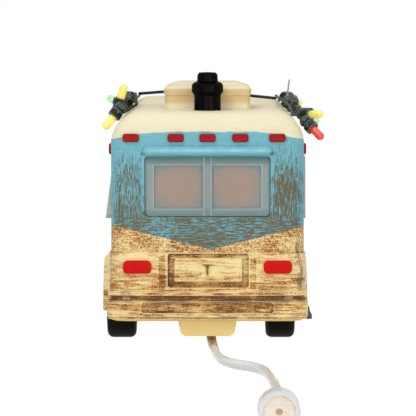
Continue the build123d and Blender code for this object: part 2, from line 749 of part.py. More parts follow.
# Chimney vent: pipe, ring and knob, one turned piece
# radius, height over the roof
chimney_profile = (
    (5.2, 0.0), (5.1, 5.6), (5.5, 6.4), (6.1, 7.2), (6.1, 9.8), (5.5, 10.7), (4.1, 11.3),
    (3.9, 13.9), (3.2, 14.7), (0.0, 14.9),
)
chimney_set_in = 7.2          # before the rounding of the rear
chimney_y = rear_y + rear_edge_r + chimney_set_in
with BuildPart() as chimney:
    with BuildSketch(on_plane(cross_plane(chimney_y), 0, roof_z)):
        with BuildLine():
            Polyline((0, 0), *chimney_profile, close=True)
        make_face()
    revolve(axis=Axis((0, chimney_y, 0), (0, 0, 1)))
chimney.part.label = "chimney"
export_step(chimney.part, "parts/chimney.step")

# Roof air conditioner: a box with a hipped lid that stands over it a little
pod = dict(width=33.4, length=41.0, side=5.8, lid=8.4, crown=10.4, hip=5.0, corner=3.0, lip=0.5)
pod_crown_r = 2.0
pod_lid_edge = 1.5
pod_ahead = 7.0               # rear of the pod before the middle of the chimney
pod_y = chimney_y + pod_ahead + pod["length"] / 2
pod_plane = Plane(origin=(0, pod_y, roof_z))
with BuildPart() as roof_pod:
    with BuildSketch(pod_plane):
        RectangleRounded(pod["width"], pod["length"], pod["corner"])
    extrude(amount=pod["side"])
    with BuildSketch(pod_plane.offset(pod["side"])):
        RectangleRounded(
            pod["width"] + 2 * pod["lip"], pod["length"] + 2 * pod["lip"], pod["corner"] + pod["lip"]
        )
    extrude(amount=pod["lid"] - pod["side"])
    with BuildSketch(pod_plane.offset(pod["lid"])):
        RectangleRounded(
            pod["width"] + 2 * pod["lip"], pod["length"] + 2 * pod["lip"], pod["corner"] + pod["lip"]
        )
    with BuildSketch(pod_plane.offset(pod["crown"])):
        RectangleRounded(pod["width"] - 2 * pod["hip"], pod["length"] - 2 * pod["hip"], pod_crown_r)
    loft(ruled=True)
    lid_rim = roof_pod.edges().filter_by(lambda e: abs(e.center().Z - roof_z - pod["lid"]) < 0.01)
    fillet(lid_rim, pod_lid_edge)
roof_pod.part.label = "roof_pod"
export_step(roof_pod.part, "parts/roof_pod.step")

# Whip antenna on the right roof edge
antenna = dict(inset=3.7, y=along(0.626), radius=0.35, top=100.4, out=1.6, boss_r=1.3, boss=1.6, root=0.5)
antenna_x = side_x - antenna["inset"]
boss_z = edge_z + sqrt(roof_edge_r**2 - (antenna_x - edge_x) ** 2)
with BuildPart() as whip:
    with Locations((antenna_x, antenna["y"], boss_z)):
        Cylinder(antenna["boss_r"], 2 * antenna["boss"])
    rise = antenna["top"] - boss_z
    whip_plane = Plane(
        origin=(antenna_x, antenna["y"], boss_z + antenna["root"]), z_dir=(antenna["out"], 0, rise)
    )
    with BuildSketch(whip_plane):
        Circle(antenna["radius"])
    extrude(amount=hypot(rise, antenna["out"]))
    add(body_outer, mode=Mode.SUBTRACT)
whip.part.label = "antenna"
export_step(whip.part, "parts/antenna.step")

# Light string along both roof edges.
# side, share of the length, place round the roof edge, direction up, direction forward
# (the last three in degrees; 0 round the edge is the wall, 90 the roof), colour
string_rows = (
    (-1, 0.068, 62.0, -49.0, -22.0, "yellow"),
    (-1, 0.158, 42.0, 107.0, -10.0, "yellow"),
    (-1, 0.230, 66.0, 8.0, 42.0, "green"),
    (-1, 0.295, 72.0, -46.0, 0.0, "red"),
    (-1, 0.430, 58.0, -5.0, 60.0, "yellow"),
    (-1, 0.610, 54.0, -5.0, 60.0, "green"),
    (-1, 0.800, 57.0, -5.0, 60.0, "red"),
    (1, 0.070, 36.0, -36.0, -44.0, "red"),
    (1, 0.142, 42.0, 2.0, -46.0, "yellow"),
    (1, 0.225, 50.0, -28.0, 25.0, "green"),
    (1, 0.330, 68.0, -34.0, 0.0, "red"),
    (1, 0.490, 57.0, -5.0, 60.0, "yellow"),
    (1, 0.650, 53.0, -5.0, 60.0, "green"),
    (1, 0.810, 56.0, -5.0, 60.0, "red"),
)


def socket_plane(side, share, place, up, ahead):
    """Plane at a socket's back end, its normal along the socket, just clear of the roof edge."""
    normal = Vector(side * cos(radians(place)), 0, sin(radians(place)))
    flat = cos(radians(up))
    axis = Vector(side * flat * cos(radians(ahead)), flat * sin(radians(ahead)), sin(radians(up)))
    into = normal.dot(axis)
    cross = 1 - into**2 - axis.Y**2
    reach = roof_edge_r + socket_r + string_gap
    steps = [socket_len * k / 4 for k in range(5)]
    radius = max(sqrt(reach**2 - s**2 * cross) - s * into for s in steps)
    centre = Vector(side * edge_x, along(share), edge_z) + normal * radius
    return Plane(origin=centre, z_dir=axis)


# radius, distance along a socket
socket_profile = (
    (socket_back_r, 0.0), (socket_back_r, 0.8), (2.4, 1.1), (2.4, 1.7), (2.05, 2.0), (2.05, 3.3),
    (socket_r, 3.7),
    (socket_r, socket_len - 0.3), (socket_r - 0.3, socket_len), (bulb_r + 0.3, socket_len),
    (bulb_r + 0.3, socket_len - well_depth), (0.0, socket_len - well_depth),
)


def socket_solid(plane):
    """Turned lamp socket with a well for its bulb."""
    with BuildPart() as barrel:
        section = Plane(origin=plane.origin, x_dir=plane.x_dir, z_dir=-plane.y_dir)
        with BuildSketch(section):
            with BuildLine():
                Polyline((0, 0), *socket_profile, close=True)
            make_face()
        revolve(axis=Axis(plane.origin, plane.z_dir))
    return barrel.part


def bulb_solid(plane):
    """Bulb with a round tip, standing in its socket's well."""
    foot = plane.offset(socket_len - well_depth)
    straight = bulb_len - bulb_r
    with BuildPart() as glass:
        section = Plane(origin=foot.origin, x_dir=foot.x_dir, z_dir=-foot.y_dir)
        with BuildSketch(section):
            with BuildLine():
                Polyline((0, bulb_len), (0, 0), (bulb_r, 0), (bulb_r, straight))
                RadiusArc((bulb_r, straight), (0, bulb_len), -bulb_r)
            make_face()
        revolve(axis=Axis(foot.origin, foot.z_dir))
    return glass.part


string_planes = [(row[0], row[5], socket_plane(*row[:5])) for row in string_rows]
left_barrels = [socket_solid(plane) for side, colour, plane in string_planes if side < 0]
with BuildPart() as sockets_left:
    add(left_barrels)
sockets_left.part.label = "sockets_left"
export_step(sockets_left.part, "parts/sockets_left.step")

right_barrels = [socket_solid(plane) for side, colour, plane in string_planes if side > 0]
with BuildPart() as sockets_right:
    add(right_barrels)
sockets_right.part.label = "sockets_right"
export_step(sockets_right.part, "parts/sockets_right.step")

for bulb_colour in ("yellow", "green", "red"):
    glasses = [bulb_solid(plane) for side, colour, plane in string_planes if colour == bulb_colour]
    with BuildPart() as bulbs:
        add(glasses)
    bulbs.part.label = "bulbs_" + bulb_colour
    export_step(bulbs.part, "parts/bulbs_" + bulb_colour + ".step")


def wire_tube(points, bend):
    """Round wire along straight runs joined by arcs."""
    with BuildPart() as tube:
        with BuildLine() as route:
            FilletPolyline(*points, radius=bend)
        with BuildSketch(Plane(origin=route.line @ 0, z_dir=route.line % 0)):
            Circle(wire_r)
        sweep(path=route.line)
    return tube.part


def wire_points(side):
    """Points just inside the backs of the sockets of one side."""
    points = []
    for row_side, colour, plane in string_planes:
        if row_side == side:
            outward = Vector(plane.z_dir.X, 0, plane.z_dir.Z).normalized()
            turned = socket_back_r * abs(plane.z_dir.Y)
            points.append(plane.origin - outward * (turned + wire_r + wire_slack))
    return points


# The two edges are joined by a wire over the roof, ahead of the pod
join_gap = 2 * wire_r + string_gap
cross_from = wire_points(-1)[3] + Vector(join_gap, 0, 0)
cross_to = wire_points(1)[3] - Vector(join_gap, 0, 0)
cross_ahead = 4.0             # before the front of the pod
cross_y = pod_y + pod["length"] / 2 + cross_ahead
# x, height over the roof
cross_rows = ((-16.8, 5.6), (8.0, 5.8), (18.6, 3.8))
cross_mids = [Vector(x, cross_y, roof_z + rise) for x, rise in cross_rows]
left_wire = wire_tube(wire_points(-1), wire_bend_r)
right_wire = wire_tube(wire_points(1), wire_bend_r)
cross_wire = wire_tube([cross_from, *cross_mids, cross_to], wire_bend_r)
with BuildPart() as string_wire:
    add(left_wire)
    add(right_wire)
    add(cross_wire)
string_wire.part.label = "string_wire"
export_step(string_wire.part, "parts/string_wire.step")

# Power cord: out of a gland under the base, over the floor to a connector.
# Each row: x, distance behind the rear bumper, height of the cord's middle
cord_z = cord_r + floor_gap
cord_lift = 0.2               # where it comes down to the floor
bend_share = 0.45             # of the shorter run that a corner's rounding takes up
connector = dict(x=22.3, z=6.8, face=197.0, radius=6.7, barrel=9.0, neck=9.0, wall=1.4, dish=0.7)
connector_neck = dict(shoulder=1.2, wall=0.9)
connector_lead = 18.0         # straight run into the connector
cord_end = connector["face"] - connector["barrel"] - connector["neck"]
cord_rows = (
    (1.0, -24.0, 7.6),
    (1.4, -17.0, 3.7),
    (1.8, -8.0, cord_z + cord_lift),
    (2.4, 6.0, cord_z),
    (3.4, 26.0, cord_z),
    (5.6, 42.0, cord_z),
    (10.0, 53.0, cord_z),
    (16.4, 59.0, cord_z),
    (20.4, 69.0, cord_z),
    (22.2, 84.0, cord_z),
    (23.4, 102.0, cord_z),
    (23.9, 122.0, cord_z),
    (23.4, 141.0, cord_z + 0.6),
    (connector["x"], cord_end - connector_lead, connector["z"]),
    (connector["x"], cord_end, connector["z"]),
)
cord_route = [(x, -overall_length / 2 - behind, z) for x, behind, z in cord_rows]


def route_radii(points):
    """Largest radius that each inner point's two runs allow."""
    radii = []
    for before, here, after in zip(points, points[1:], points[2:]):
        run_in = Vector(here) - Vector(before)
        run_out = Vector(after) - Vector(here)
        half_turn = radians(run_in.get_angle(run_out)) / 2
        radii.append(bend_share * min(run_in.length, run_out.length) / tan(half_turn))
    return radii


cord_radii = route_radii(cord_route)
with BuildPart() as power_cord:
    with BuildLine() as cord_path:
        FilletPolyline(*cord_route, radius=cord_radii)
    with BuildSketch(Plane(origin=cord_path.line @ 0, z_dir=cord_path.line % 0)):
        Circle(cord_r)
    sweep(path=cord_path.line)
power_cord.part.label = "power_cord"
export_step(power_cord.part, "parts/power_cord.step")
cord_length = sum(edge.length for edge in cord_path.line.edges())
print("cord length", round(cord_length, 1), "radii", [round(r, 1) for r in cord_radii])

# Gland: tapered sleeve under the base plate that the cord leaves by
gland = dict(length=9.0, thin=0.8, thick=2.0)
with BuildPart() as cord_gland:
    gland_plane = Plane(origin=cord_path.line @ 0, z_dir=-(cord_path.line % 0))
    with BuildSketch(gland_plane):
        Circle(cord_r + gland["thin"])
    with BuildSketch(gland_plane.offset(gland["length"])):
        Circle(cord_r + gland["thick"])
    loft()
    split(bisect_by=Plane.XY.offset(base_z), keep=Keep.BOTTOM)
cord_gland.part.label = "cord_gland"
export_step(cord_gland.part, "parts/cord_gland.step")

# Connector: milky barrel with a dished, bored end and a tapered neck for the cord
socket_bore_r = 1.2
socket_bore_len = 8.0
connector_mouth_r = connector["radius"] - connector["wall"]
connector_plane = Plane(
    origin=(connector["x"], -overall_length / 2 - connector["face"], connector["z"]),
    x_dir=(1, 0, 0), z_dir=(0, 1, 0),
)
with BuildPart() as cord_connector:
    with BuildSketch(connector_plane):
        Circle(connector["radius"])
        Circle(connector_mouth_r, mode=Mode.SUBTRACT)
    extrude(amount=connector["dish"])
    with BuildSketch(connector_plane.offset(connector["dish"])):
        Circle(connector["radius"])
    extrude(amount=connector["barrel"] - connector["dish"])
    with BuildSketch(connector_plane.offset(connector["barrel"])):
        Circle(connector["radius"] - connector_neck["shoulder"])
    with BuildSketch(connector_plane.offset(connector["barrel"] + connector["neck"])):
        Circle(cord_r + connector_neck["wall"])
    loft()
    with BuildSketch(connector_plane.offset(connector["dish"])):
        Circle(socket_bore_r)
    extrude(amount=socket_bore_len, mode=Mode.SUBTRACT)
cord_connector.part.label = "cord_connector"
export_step(cord_connector.part, "parts/cord_connector.step")

# Wheel sets: axle, two discs and two tyres each
disc_bore = 4.0
disc_inset = 0.6
# radius, distance from the disc's inner face
disc_profile = (
    (axle_r, 0.0), (rim_r - seat_gap, 0.0), (rim_r - seat_gap, 9.6), (6.6, 9.6), (5.6, 7.4), (3.4, 7.4),
    (3.0, 9.0), (0.0, 9.0), (0.0, disc_bore), (axle_r, disc_bore),
)
tyre_shoulder = 2.4


def tyre_solid(x, y):
    """Plain tyre with rounded shoulders, the middle of its tread at x."""
    with BuildPart() as tyre:
        section = Plane(origin=(x, y, axle_z), x_dir=(1, 0, 0), z_dir=(0, -1, 0))
        with BuildSketch(section) as ring:
            with Locations((0, (wheel_r + rim_r) / 2)):
                Rectangle(wheel_width, wheel_r - rim_r)
            fillet(ring.vertices().group_by(Axis.Y)[-1], tyre_shoulder)
        revolve(axis=Axis((0, y, axle_z), (1, 0, 0)))
    return tyre.part


def disc_solid(side, x, y):
    """Dished wheel disc, bored for the axle from inside."""
    inner_x = x - side * (wheel_width / 2 - disc_inset)
    with BuildPart() as disc:
        section = Plane(origin=(inner_x, y, axle_z), x_dir=(0, 0, 1), z_dir=(0, side, 0))
        with BuildSketch(section):
            with BuildLine():
                Polyline(*disc_profile, close=True)
            make_face()
        revolve(axis=Axis((0, y, axle_z), (1, 0, 0)))
    return disc.part


axle_half = half_track - wheel_width / 2 + disc_inset + disc_bore
# name, y, sideways shift
for end_name, axle_y, shift in (
    ("rear", rear_axle_y, rear_axle_shift), ("front", front_axle_y, 0.0),
):
    tyre_pair = [tyre_solid(shift + side * half_track, axle_y) for side in (-1, 1)]
    disc_pair = [disc_solid(side, shift + side * half_track, axle_y) for side in (-1, 1)]
    with BuildPart() as axle:
        with Locations(Location((shift, axle_y, axle_z), (0, 90, 0))):
            Cylinder(axle_r, 2 * axle_half)
    axle.part.label = end_name + "_axle"
    export_step(axle.part, "parts/" + end_name + "_axle.step")
    with BuildPart() as tyres:
        add(tyre_pair)
    tyres.part.label = end_name + "_tyres"
    export_step(tyres.part, "parts/" + end_name + "_tyres.step")
    with BuildPart() as discs:
        add(disc_pair)
    discs.part.label = end_name + "_discs"
    export_step(discs.part, "parts/" + end_name + "_discs.step")
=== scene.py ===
import math

import bpy
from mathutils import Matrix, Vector


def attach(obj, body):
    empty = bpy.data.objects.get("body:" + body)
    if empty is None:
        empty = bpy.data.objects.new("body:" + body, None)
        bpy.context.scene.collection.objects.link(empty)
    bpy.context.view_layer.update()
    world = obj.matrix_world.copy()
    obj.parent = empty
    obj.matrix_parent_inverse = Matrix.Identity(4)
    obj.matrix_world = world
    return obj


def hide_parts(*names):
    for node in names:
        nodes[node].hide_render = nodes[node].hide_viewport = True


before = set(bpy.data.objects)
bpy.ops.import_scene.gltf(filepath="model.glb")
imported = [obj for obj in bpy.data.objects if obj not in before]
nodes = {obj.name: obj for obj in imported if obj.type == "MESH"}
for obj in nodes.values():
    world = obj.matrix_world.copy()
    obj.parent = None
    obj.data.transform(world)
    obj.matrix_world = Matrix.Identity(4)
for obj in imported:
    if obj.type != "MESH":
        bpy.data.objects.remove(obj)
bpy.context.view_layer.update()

# Body: a hollow slip-cast earthenware shell and its roof cap, with bumpers, hatch, door, vent and
# roof pod of the same ware. It is painted by hand in two tones, dry-brushed with brown, and given
# a satin glaze. The paint lies thinner on high edges, and the brown wash gathers in the hollows.
# Painted light is mixed in: shade in the hollows and grooves, on sideways slopes of the rear and on
# the pod's sides, and a highlight along the brow.


def srgb(code):
    """Linear colour of an sRGB hex code."""
    channels = [int(code[i:i + 2], 16) / 255 for i in (1, 3, 5)]
    linear = [c / 12.92 if c <= 0.04045 else ((c + 0.055) / 1.055) ** 2.4 for c in channels]
    return (*linear, 1.0)


def add_node(material, kind, sockets=None, out=0, **settings):
    """Adds a node with its settings, links or sets its inputs, and gives back one output."""
    made = material.node_tree.nodes.new(kind)
    for name, value in settings.items():
        setattr(made, name, value)
    for key, value in (sockets or {}).items():
        if isinstance(value, bpy.types.NodeSocket):
            material.node_tree.links.new(value, made.inputs[key])
        else:
            made.inputs[key].default_value = value
    return made.outputs[out] if made.outputs else made


def start_material(name):
    """Empty node material and its Object coordinates in millimetres."""
    material = bpy.data.materials.new(name)
    material.use_nodes = True
    material.node_tree.nodes.clear()
    coords = add_node(material, "ShaderNodeTexCoord", out="Object")
    place = add_node(material, "ShaderNodeMapping", {"Vector": coords, "Scale": (1000, 1000, 1000)})
    return material, place


def end_material(material, sockets):
    """Ends a material with its principled shader and the output."""
    shader = add_node(material, "ShaderNodeBsdfPrincipled", sockets)
    add_node(material, "ShaderNodeOutputMaterial", {"Surface": shader})


def dress(material, *names):
    """Gives CAD nodes a material."""
    for name in names:
        nodes[name].data.materials.clear()
        nodes[name].data.materials.append(material)


def distance(material, value, line):
    """How far a value is from a line, on either side."""
    off = add_node(material, "ShaderNodeMath", {0: value, 1: line}, operation="SUBTRACT")
    return add_node(material, "ShaderNodeMath", {0: off}, operation="ABSOLUTE")


def overlap(material, first, *others):
    """Share of a surface that lies in all of these masks."""
    for mask in others:
        first = add_node(material, "ShaderNodeMath", {0: first, 1: mask}, operation="MULTIPLY")
    return first


def inside_box(material, axes, middle, reach):
    """Mask of a box by its middle and half size in mm."""
    return overlap(material, *[
        add_node(material, "ShaderNodeMath", {0: axis, 1: centre, 2: half}, operation="COMPARE")
        for axis, centre, half in zip(axes, middle, reach)])


ware, place = start_material("hand_painted_earthenware")
x, y, z = [add_node(ware, "ShaderNodeSeparateXYZ", {0: place}, out=axis) for axis in range(3)]
off_x = add_node(ware, "ShaderNodeMath", {0: x}, operation="ABSOLUTE")
rear_wall = -92.0                           # the side walls turn into the rear behind this Y
at_rear = add_node(ware, "ShaderNodeMath", {0: y, 1: rear_wall}, operation="LESS_THAN")

# Brush marks: combed ones of 0.34 x 4 mm stand beside the window, level ones of 3.6 x 0.42 mm lie
# under it, and a stipple of 0.6 mm breaks up both. The cream has longer strokes of 8 x 0.9 mm.
comb_at = add_node(ware, "ShaderNodeMapping", {"Vector": place, "Scale": (1 / 0.34, 1 / 0.34, 1 / 4.0)})
comb = add_node(ware, "ShaderNodeTexNoise", {
    "Vector": comb_at, "Scale": 1, "Detail": 3, "Roughness": 0.6})
level_at = add_node(ware, "ShaderNodeMapping", {"Vector": place, "Scale": (1 / 3.6, 1 / 3.6, 1 / 0.42)})
level = add_node(ware, "ShaderNodeTexNoise", {
    "Vector": level_at, "Scale": 1, "Detail": 4, "Roughness": 0.65})
stipple = add_node(ware, "ShaderNodeTexNoise", {
    "Vector": place, "Scale": 1 / 0.6, "Detail": 3, "Roughness": 0.65, "Distortion": 0.6})
brush_at = add_node(ware, "ShaderNodeMapping", {"Vector": place, "Scale": (1 / 8, 1 / 8, 1 / 0.9)})
brush = add_node(ware, "ShaderNodeTexNoise", {
    "Vector": brush_at, "Scale": 1, "Detail": 5, "Roughness": 0.62, "Distortion": 0.5})
patch = add_node(ware, "ShaderNodeTexNoise", {"Vector": place, "Scale": 1 / 11, "Detail": 2})
wobble = add_node(ware, "ShaderNodeTexNoise", {"Vector": place, "Scale": 1 / 7, "Detail": 1})
level_top, comb_foot = 49.0, 53.0           # heights between which the one kind becomes the other
beside = add_node(
    ware, "ShaderNodeMapRange", {0: z, 1: level_top, 2: comb_foot}, interpolation_type="SMOOTHSTEP")
marks = add_node(ware, "ShaderNodeMix", {0: beside, 2: level, 3: comb}, data_type="FLOAT")
marks = add_node(ware, "ShaderNodeMix", {0: 0.3, 2: marks, 3: stipple}, data_type="FLOAT")

# Hollows within 2.5 mm, found by occlusion, where the wash stays and painted shade darkens them,
# and edges of 0.8 mm, where the wash is rubbed off
open_sky = add_node(
    ware, "ShaderNodeAmbientOcclusion", {"Distance": 0.0025}, out="AO", samples=6, only_local=True)
hollow_wash_and_shade = add_node(ware, "ShaderNodeMapRange", {0: open_sky, 1: 0.92, 2: 0.50})
stays = add_node(ware, "ShaderNodeMapRange", {0: patch, 1: 0.36, 2: 0.56, 3: 0.5, 4: 1.0})
hollow_wash_and_shade = overlap(ware, hollow_wash_and_shade, stays)
rounded = add_node(ware, "ShaderNodeBevel", {"Radius": 0.0008}, samples=4)
true_normal = add_node(ware, "ShaderNodeNewGeometry", out="True Normal")
turn = add_node(
    ware, "ShaderNodeVectorMath", {0: rounded, 1: true_normal}, out="Value", operation="DOT_PRODUCT")
edge = add_node(ware, "ShaderNodeMapRange", {0: turn, 1: 0.985, 2: 0.88})
in_open = add_node(ware, "ShaderNodeMath", {0: 1.0, 1: hollow_wash_and_shade}, operation="SUBTRACT")
edge = overlap(ware, edge, in_open)

# Turquoise, with a painted highlight along the front of the brow, where the glaze catches the light
brow_front = 77.2                           # height of the brow's foremost line
blue = add_node(
    ware, "ShaderNodeMix", {0: level, 6: srgb("#54A6BA"), 7: srgb("#8FCBD3")}, out=2, data_type="RGBA")
shine_z = distance(ware, z, brow_front)
shine_z = add_node(ware, "ShaderNodeMapRange", {0: shine_z, 1: 0.8, 2: 0.2}, interpolation_type="SMOOTHSTEP")
shine_x = add_node(ware, "ShaderNodeMapRange", {0: off_x, 1: 24.5, 2: 21.0})
brow_highlight = overlap(ware, shine_z, shine_x, wobble)
blue = add_node(ware, "ShaderNodeMix", {0: brow_highlight, 6: blue, 7: srgb("#B2DEE4")}, out=2, data_type="RGBA")

# Brown in the combed marks: none over the window or close round it, a dab at the brow's two ends,
# and most low down
window_side, window_foot = 24.2, 55.0       # edges of the window's surround
brow_side, brow_foot = 24.7, 75.9           # ends of the brow
rub = add_node(ware, "ShaderNodeMapRange", {0: z, 1: 83.5, 2: 66.0, 3: -0.05, 4: 0.145})
far_x = add_node(ware, "ShaderNodeMath", {0: off_x, 1: window_side}, operation="SUBTRACT")
below = add_node(ware, "ShaderNodeMath", {0: window_foot, 1: z}, operation="SUBTRACT")
from_window = add_node(ware, "ShaderNodeMath", {0: far_x, 1: below}, operation="MAXIMUM")
margin = add_node(ware, "ShaderNodeMapRange", {0: from_window, 1: 0.2, 2: 1.8, 3: -0.12, 4: 0.0})
outer = add_node(ware, "ShaderNodeMapRange", {0: off_x, 1: 34.4, 2: 36.4, 3: 0.0, 4: -0.10})
outer = overlap(ware, outer, at_rear)
brow_out = add_node(ware, "ShaderNodeMath", {0: off_x, 1: brow_side}, operation="SUBTRACT")
brow_up = add_node(ware, "ShaderNodeMath", {0: z, 1: brow_foot}, operation="SUBTRACT")
brow_end = add_node(ware, "ShaderNodeCombineXYZ", {0: brow_out, 1: brow_up})
brow_end = add_node(ware, "ShaderNodeVectorMath", {0: brow_end}, out="Value", operation="LENGTH")
brow_end = add_node(ware, "ShaderNodeMapRange", {0: brow_end, 1: 1.6, 2: 0.5, 3: 0.0, 4: 0.15})
low = add_node(ware, "ShaderNodeMapRange", {0: z, 1: 75.0, 2: 72.0, 3: 0.0, 4: 0.10})
# where the brown is rubbed in, how much more of it
rub_shares = (
    (margin, 1.0), (outer, 1.0), (x, 0.0004), (patch, 0.14), (brow_end, 1.0), (marks, 1.0), (hollow_wash_and_shade, low))
for where, more in rub_shares:
    rub = add_node(ware, "ShaderNodeMath", {0: where, 1: more, 2: rub}, operation="MULTIPLY_ADD")
rubbed = add_node(
    ware, "ShaderNodeMapRange", {0: rub, 1: 0.625, 2: 0.735, 3: 0.0, 4: 0.90}, interpolation_type="SMOOTHSTEP")
brown = add_node(
    ware, "ShaderNodeMix", {0: stipple, 6: srgb("#382C0E"), 7: srgb("#86692A")}, out=2, data_type="RGBA")
blue = add_node(ware, "ShaderNodeMix", {0: rubbed, 6: blue, 7: brown}, out=2, data_type="RGBA")

# Cream under the paint line: a thin brown wash with thicker spots, most in the grooves, in the
# recess round the hatch and on its latch; edges are rubbed clean. A dark grey of painted shade
# lies in the grooves, and sideways slopes on the rear take painted shade in the wash colour.
cream = add_node(
    ware, "ShaderNodeMix", {0: patch, 6: srgb("#F4DA90"), 7: srgb("#FCECB8")}, out=2, data_type="RGBA")
fine = add_node(ware, "ShaderNodeMix", {0: 0.5, 2: level, 3: stipple}, data_type="FLOAT")
strokes = add_node(ware, "ShaderNodeMix", {0: 0.25, 2: brush, 3: stipple}, data_type="FLOAT")
hatch_top, fine_foot = 36.5, 39.5           # over the hatch the strokes give way to fine marks
over_hatch = add_node(ware, "ShaderNodeMapRange", {0: z, 1: hatch_top, 2: fine_foot})
wash = add_node(ware, "ShaderNodeMix", {0: over_hatch, 2: strokes, 3: fine}, data_type="FLOAT")
wash = add_node(ware, "ShaderNodeMath", {0: patch, 1: 0.44, 2: wash}, operation="MULTIPLY_ADD")
wash = add_node(ware, "ShaderNodeMath", {0: wash, 1: 0.09}, operation="SUBTRACT")
# height in mm, how much wash the brush left there (0.5 is the mean)
wash_bands = (
    (11.0, 0.46), (13.0, 0.58), (18.4, 0.66), (19.4, 0.95), (21.0, 0.95), (21.6, 0.55), (23.0, 0.50),
    (24.0, 0.54), (28.5, 0.52), (30.5, 0.33), (36.0, 0.35), (38.0, 0.56), (48.0, 0.56),
)
bands_top = 50.0
band = add_node(ware, "ShaderNodeMapRange", {0: z, 1: 0.0, 2: bands_top})
band = add_node(ware, "ShaderNodeValToRGB", {0: band})
stops = band.node.color_ramp.elements
stops.remove(stops[1])
for height, share in wash_bands:
    stops.new(height / bands_top).color = (share, share, share, 1)
band = add_node(ware, "ShaderNodeMath", {0: band, 1: 0.5}, operation="SUBTRACT")
recess = inside_box(ware, (x, y, z), middle=(0.3, -96.2, 30.7), reach=(15.6, 1.0, 6.5))
latch = inside_box(ware, (x, y, z), middle=(0.0, -98.2, 30.9), reach=(2.2, 0.35, 2.3))
# Painted shade: rear faces that turn sideways, such as the pads' inner slopes, take more wash colour
slope_shade = add_node(ware, "ShaderNodeSeparateXYZ", {0: true_normal}, out=0)
slope_shade = add_node(ware, "ShaderNodeMath", {0: slope_shade}, operation="ABSOLUTE")
slope_shade = add_node(ware, "ShaderNodeMapRange", {0: slope_shade, 1: 0.12, 2: 0.4, 3: 0.0, 4: 0.14})
mid_rear = add_node(ware, "ShaderNodeMath", {0: off_x, 1: 31.0}, operation="LESS_THAN")
slope_shade = overlap(ware, slope_shade, mid_rear, at_rear)
on_flare = add_node(ware, "ShaderNodeMapRange", {0: off_x, 1: 37.5, 2: 38.0, 3: 0.0, 4: -0.07})
# where the wash lies, how much more of it
wash_shares = (
    (band, 0.36), (hollow_wash_and_shade, 0.16), (recess, 0.07), (slope_shade, 1.0), (on_flare, 1.0), (latch, 0.5), (edge, -0.30))
for where, more in wash_shares:
    wash = add_node(ware, "ShaderNodeMath", {0: where, 1: more, 2: wash}, operation="MULTIPLY_ADD")
thin = add_node(
    ware, "ShaderNodeMapRange", {0: wash, 1: 0.52, 2: 0.72, 3: 0.0, 4: 0.85}, interpolation_type="SMOOTHSTEP")
cream = add_node(ware, "ShaderNodeMix", {0: thin, 6: cream, 7: srgb("#C6863A")}, out=2, data_type="RGBA")
spots = add_node(ware, "ShaderNodeMix", {0: over_hatch, 2: fine, 3: stipple}, data_type="FLOAT")
thick = add_node(ware, "ShaderNodeMath", {0: wash, 1: spots}, operation="ADD")
thick = add_node(
    ware, "ShaderNodeMapRange", {0: thick, 1: 1.17, 2: 1.31, 3: 0.0, 4: 0.85}, interpolation_type="SMOOTHSTEP")
cream = add_node(ware, "ShaderNodeMix", {0: thick, 6: cream, 7: srgb("#6A340A")}, out=2, data_type="RGBA")
# Painted shade: dark grey where the hollows and the level marks meet, most in the grooves
groove_shade = overlap(ware, hollow_wash_and_shade, level)
groove_shade = add_node(
    ware, "ShaderNodeMapRange", {0: groove_shade, 1: 0.24, 2: 0.48, 3: 0.0, 4: 0.8}, interpolation_type="SMOOTHSTEP")
cream = add_node(ware, "ShaderNodeMix", {0: groove_shade, 6: cream, 7: srgb("#4F423C")}, out=2, data_type="RGBA")

# One dark grey streak down the right rear corner, broken by the combed marks
streak_foot, streak_foot_x = 34.0, 35.9           # the run leans in towards its top
streak_top, streak_top_x = 44.0, 34.5
streak_sway = 3.0
streak_line = add_node(ware, "ShaderNodeMapRange", {0: z, 1: streak_foot, 2: streak_top, 3: streak_foot_x, 4: streak_top_x})
streak_line = add_node(ware, "ShaderNodeMath", {0: wobble, 1: streak_sway, 2: streak_line}, operation="MULTIPLY_ADD")
streak_line = add_node(ware, "ShaderNodeMath", {0: streak_line, 1: streak_sway / 2}, operation="SUBTRACT")
streak_x = distance(ware, x, streak_line)
streak_x = add_node(ware, "ShaderNodeMapRange", {0: streak_x, 1: 1.1, 2: 0.4})
streak_low = add_node(ware, "ShaderNodeMapRange", {0: z, 1: 22.5, 2: 24.5})
streak_high = add_node(ware, "ShaderNodeMapRange", {0: z, 1: 43.5, 2: 40.0})
gaps = add_node(ware, "ShaderNodeMapRange", {0: comb, 1: 0.36, 2: 0.52, 3: 0.0, 4: 0.8})
dark_streak = overlap(ware, streak_x, gaps, streak_low, streak_high, at_rear)
cream = add_node(ware, "ShaderNodeMix", {0: dark_streak, 6: cream, 7: srgb("#5A4C50")}, out=2, data_type="RGBA")

# Roof cream: clean at the rear, with faint tan brush lines further forward; the pod's steep sides
# are tan, partly wash and partly painted shade
roof_streak = add_node(ware, "ShaderNodeMapRange", {0: y, 1: -84.0, 2: -62.0, 3: 0.05, 4: 0.6})
roof_at = add_node(ware, "ShaderNodeMapping", {"Vector": place, "Scale": (1 / 12, 1 / 1.3, 1 / 1.3)})
roof_brush = add_node(ware, "ShaderNodeTexNoise", {
    "Vector": roof_at, "Scale": 1, "Detail": 4, "Roughness": 0.6})
roof_marks = add_node(
    ware, "ShaderNodeMapRange", {0: roof_brush, 1: 0.44, 2: 0.66}, interpolation_type="SMOOTHSTEP")
roof_marks = overlap(ware, roof_marks, roof_streak)
# The hollows' darkening adds tan here too, partly wash and partly painted shade
roof_marks = add_node(
    ware, "ShaderNodeMath", {0: hollow_wash_and_shade, 1: 0.4, 2: roof_marks}, operation="MULTIPLY_ADD", use_clamp=True)
roof = add_node(
    ware, "ShaderNodeMix", {0: roof_marks, 6: srgb("#F2EAC6"), 7: srgb("#C4A266")}, out=2, data_type="RGBA")
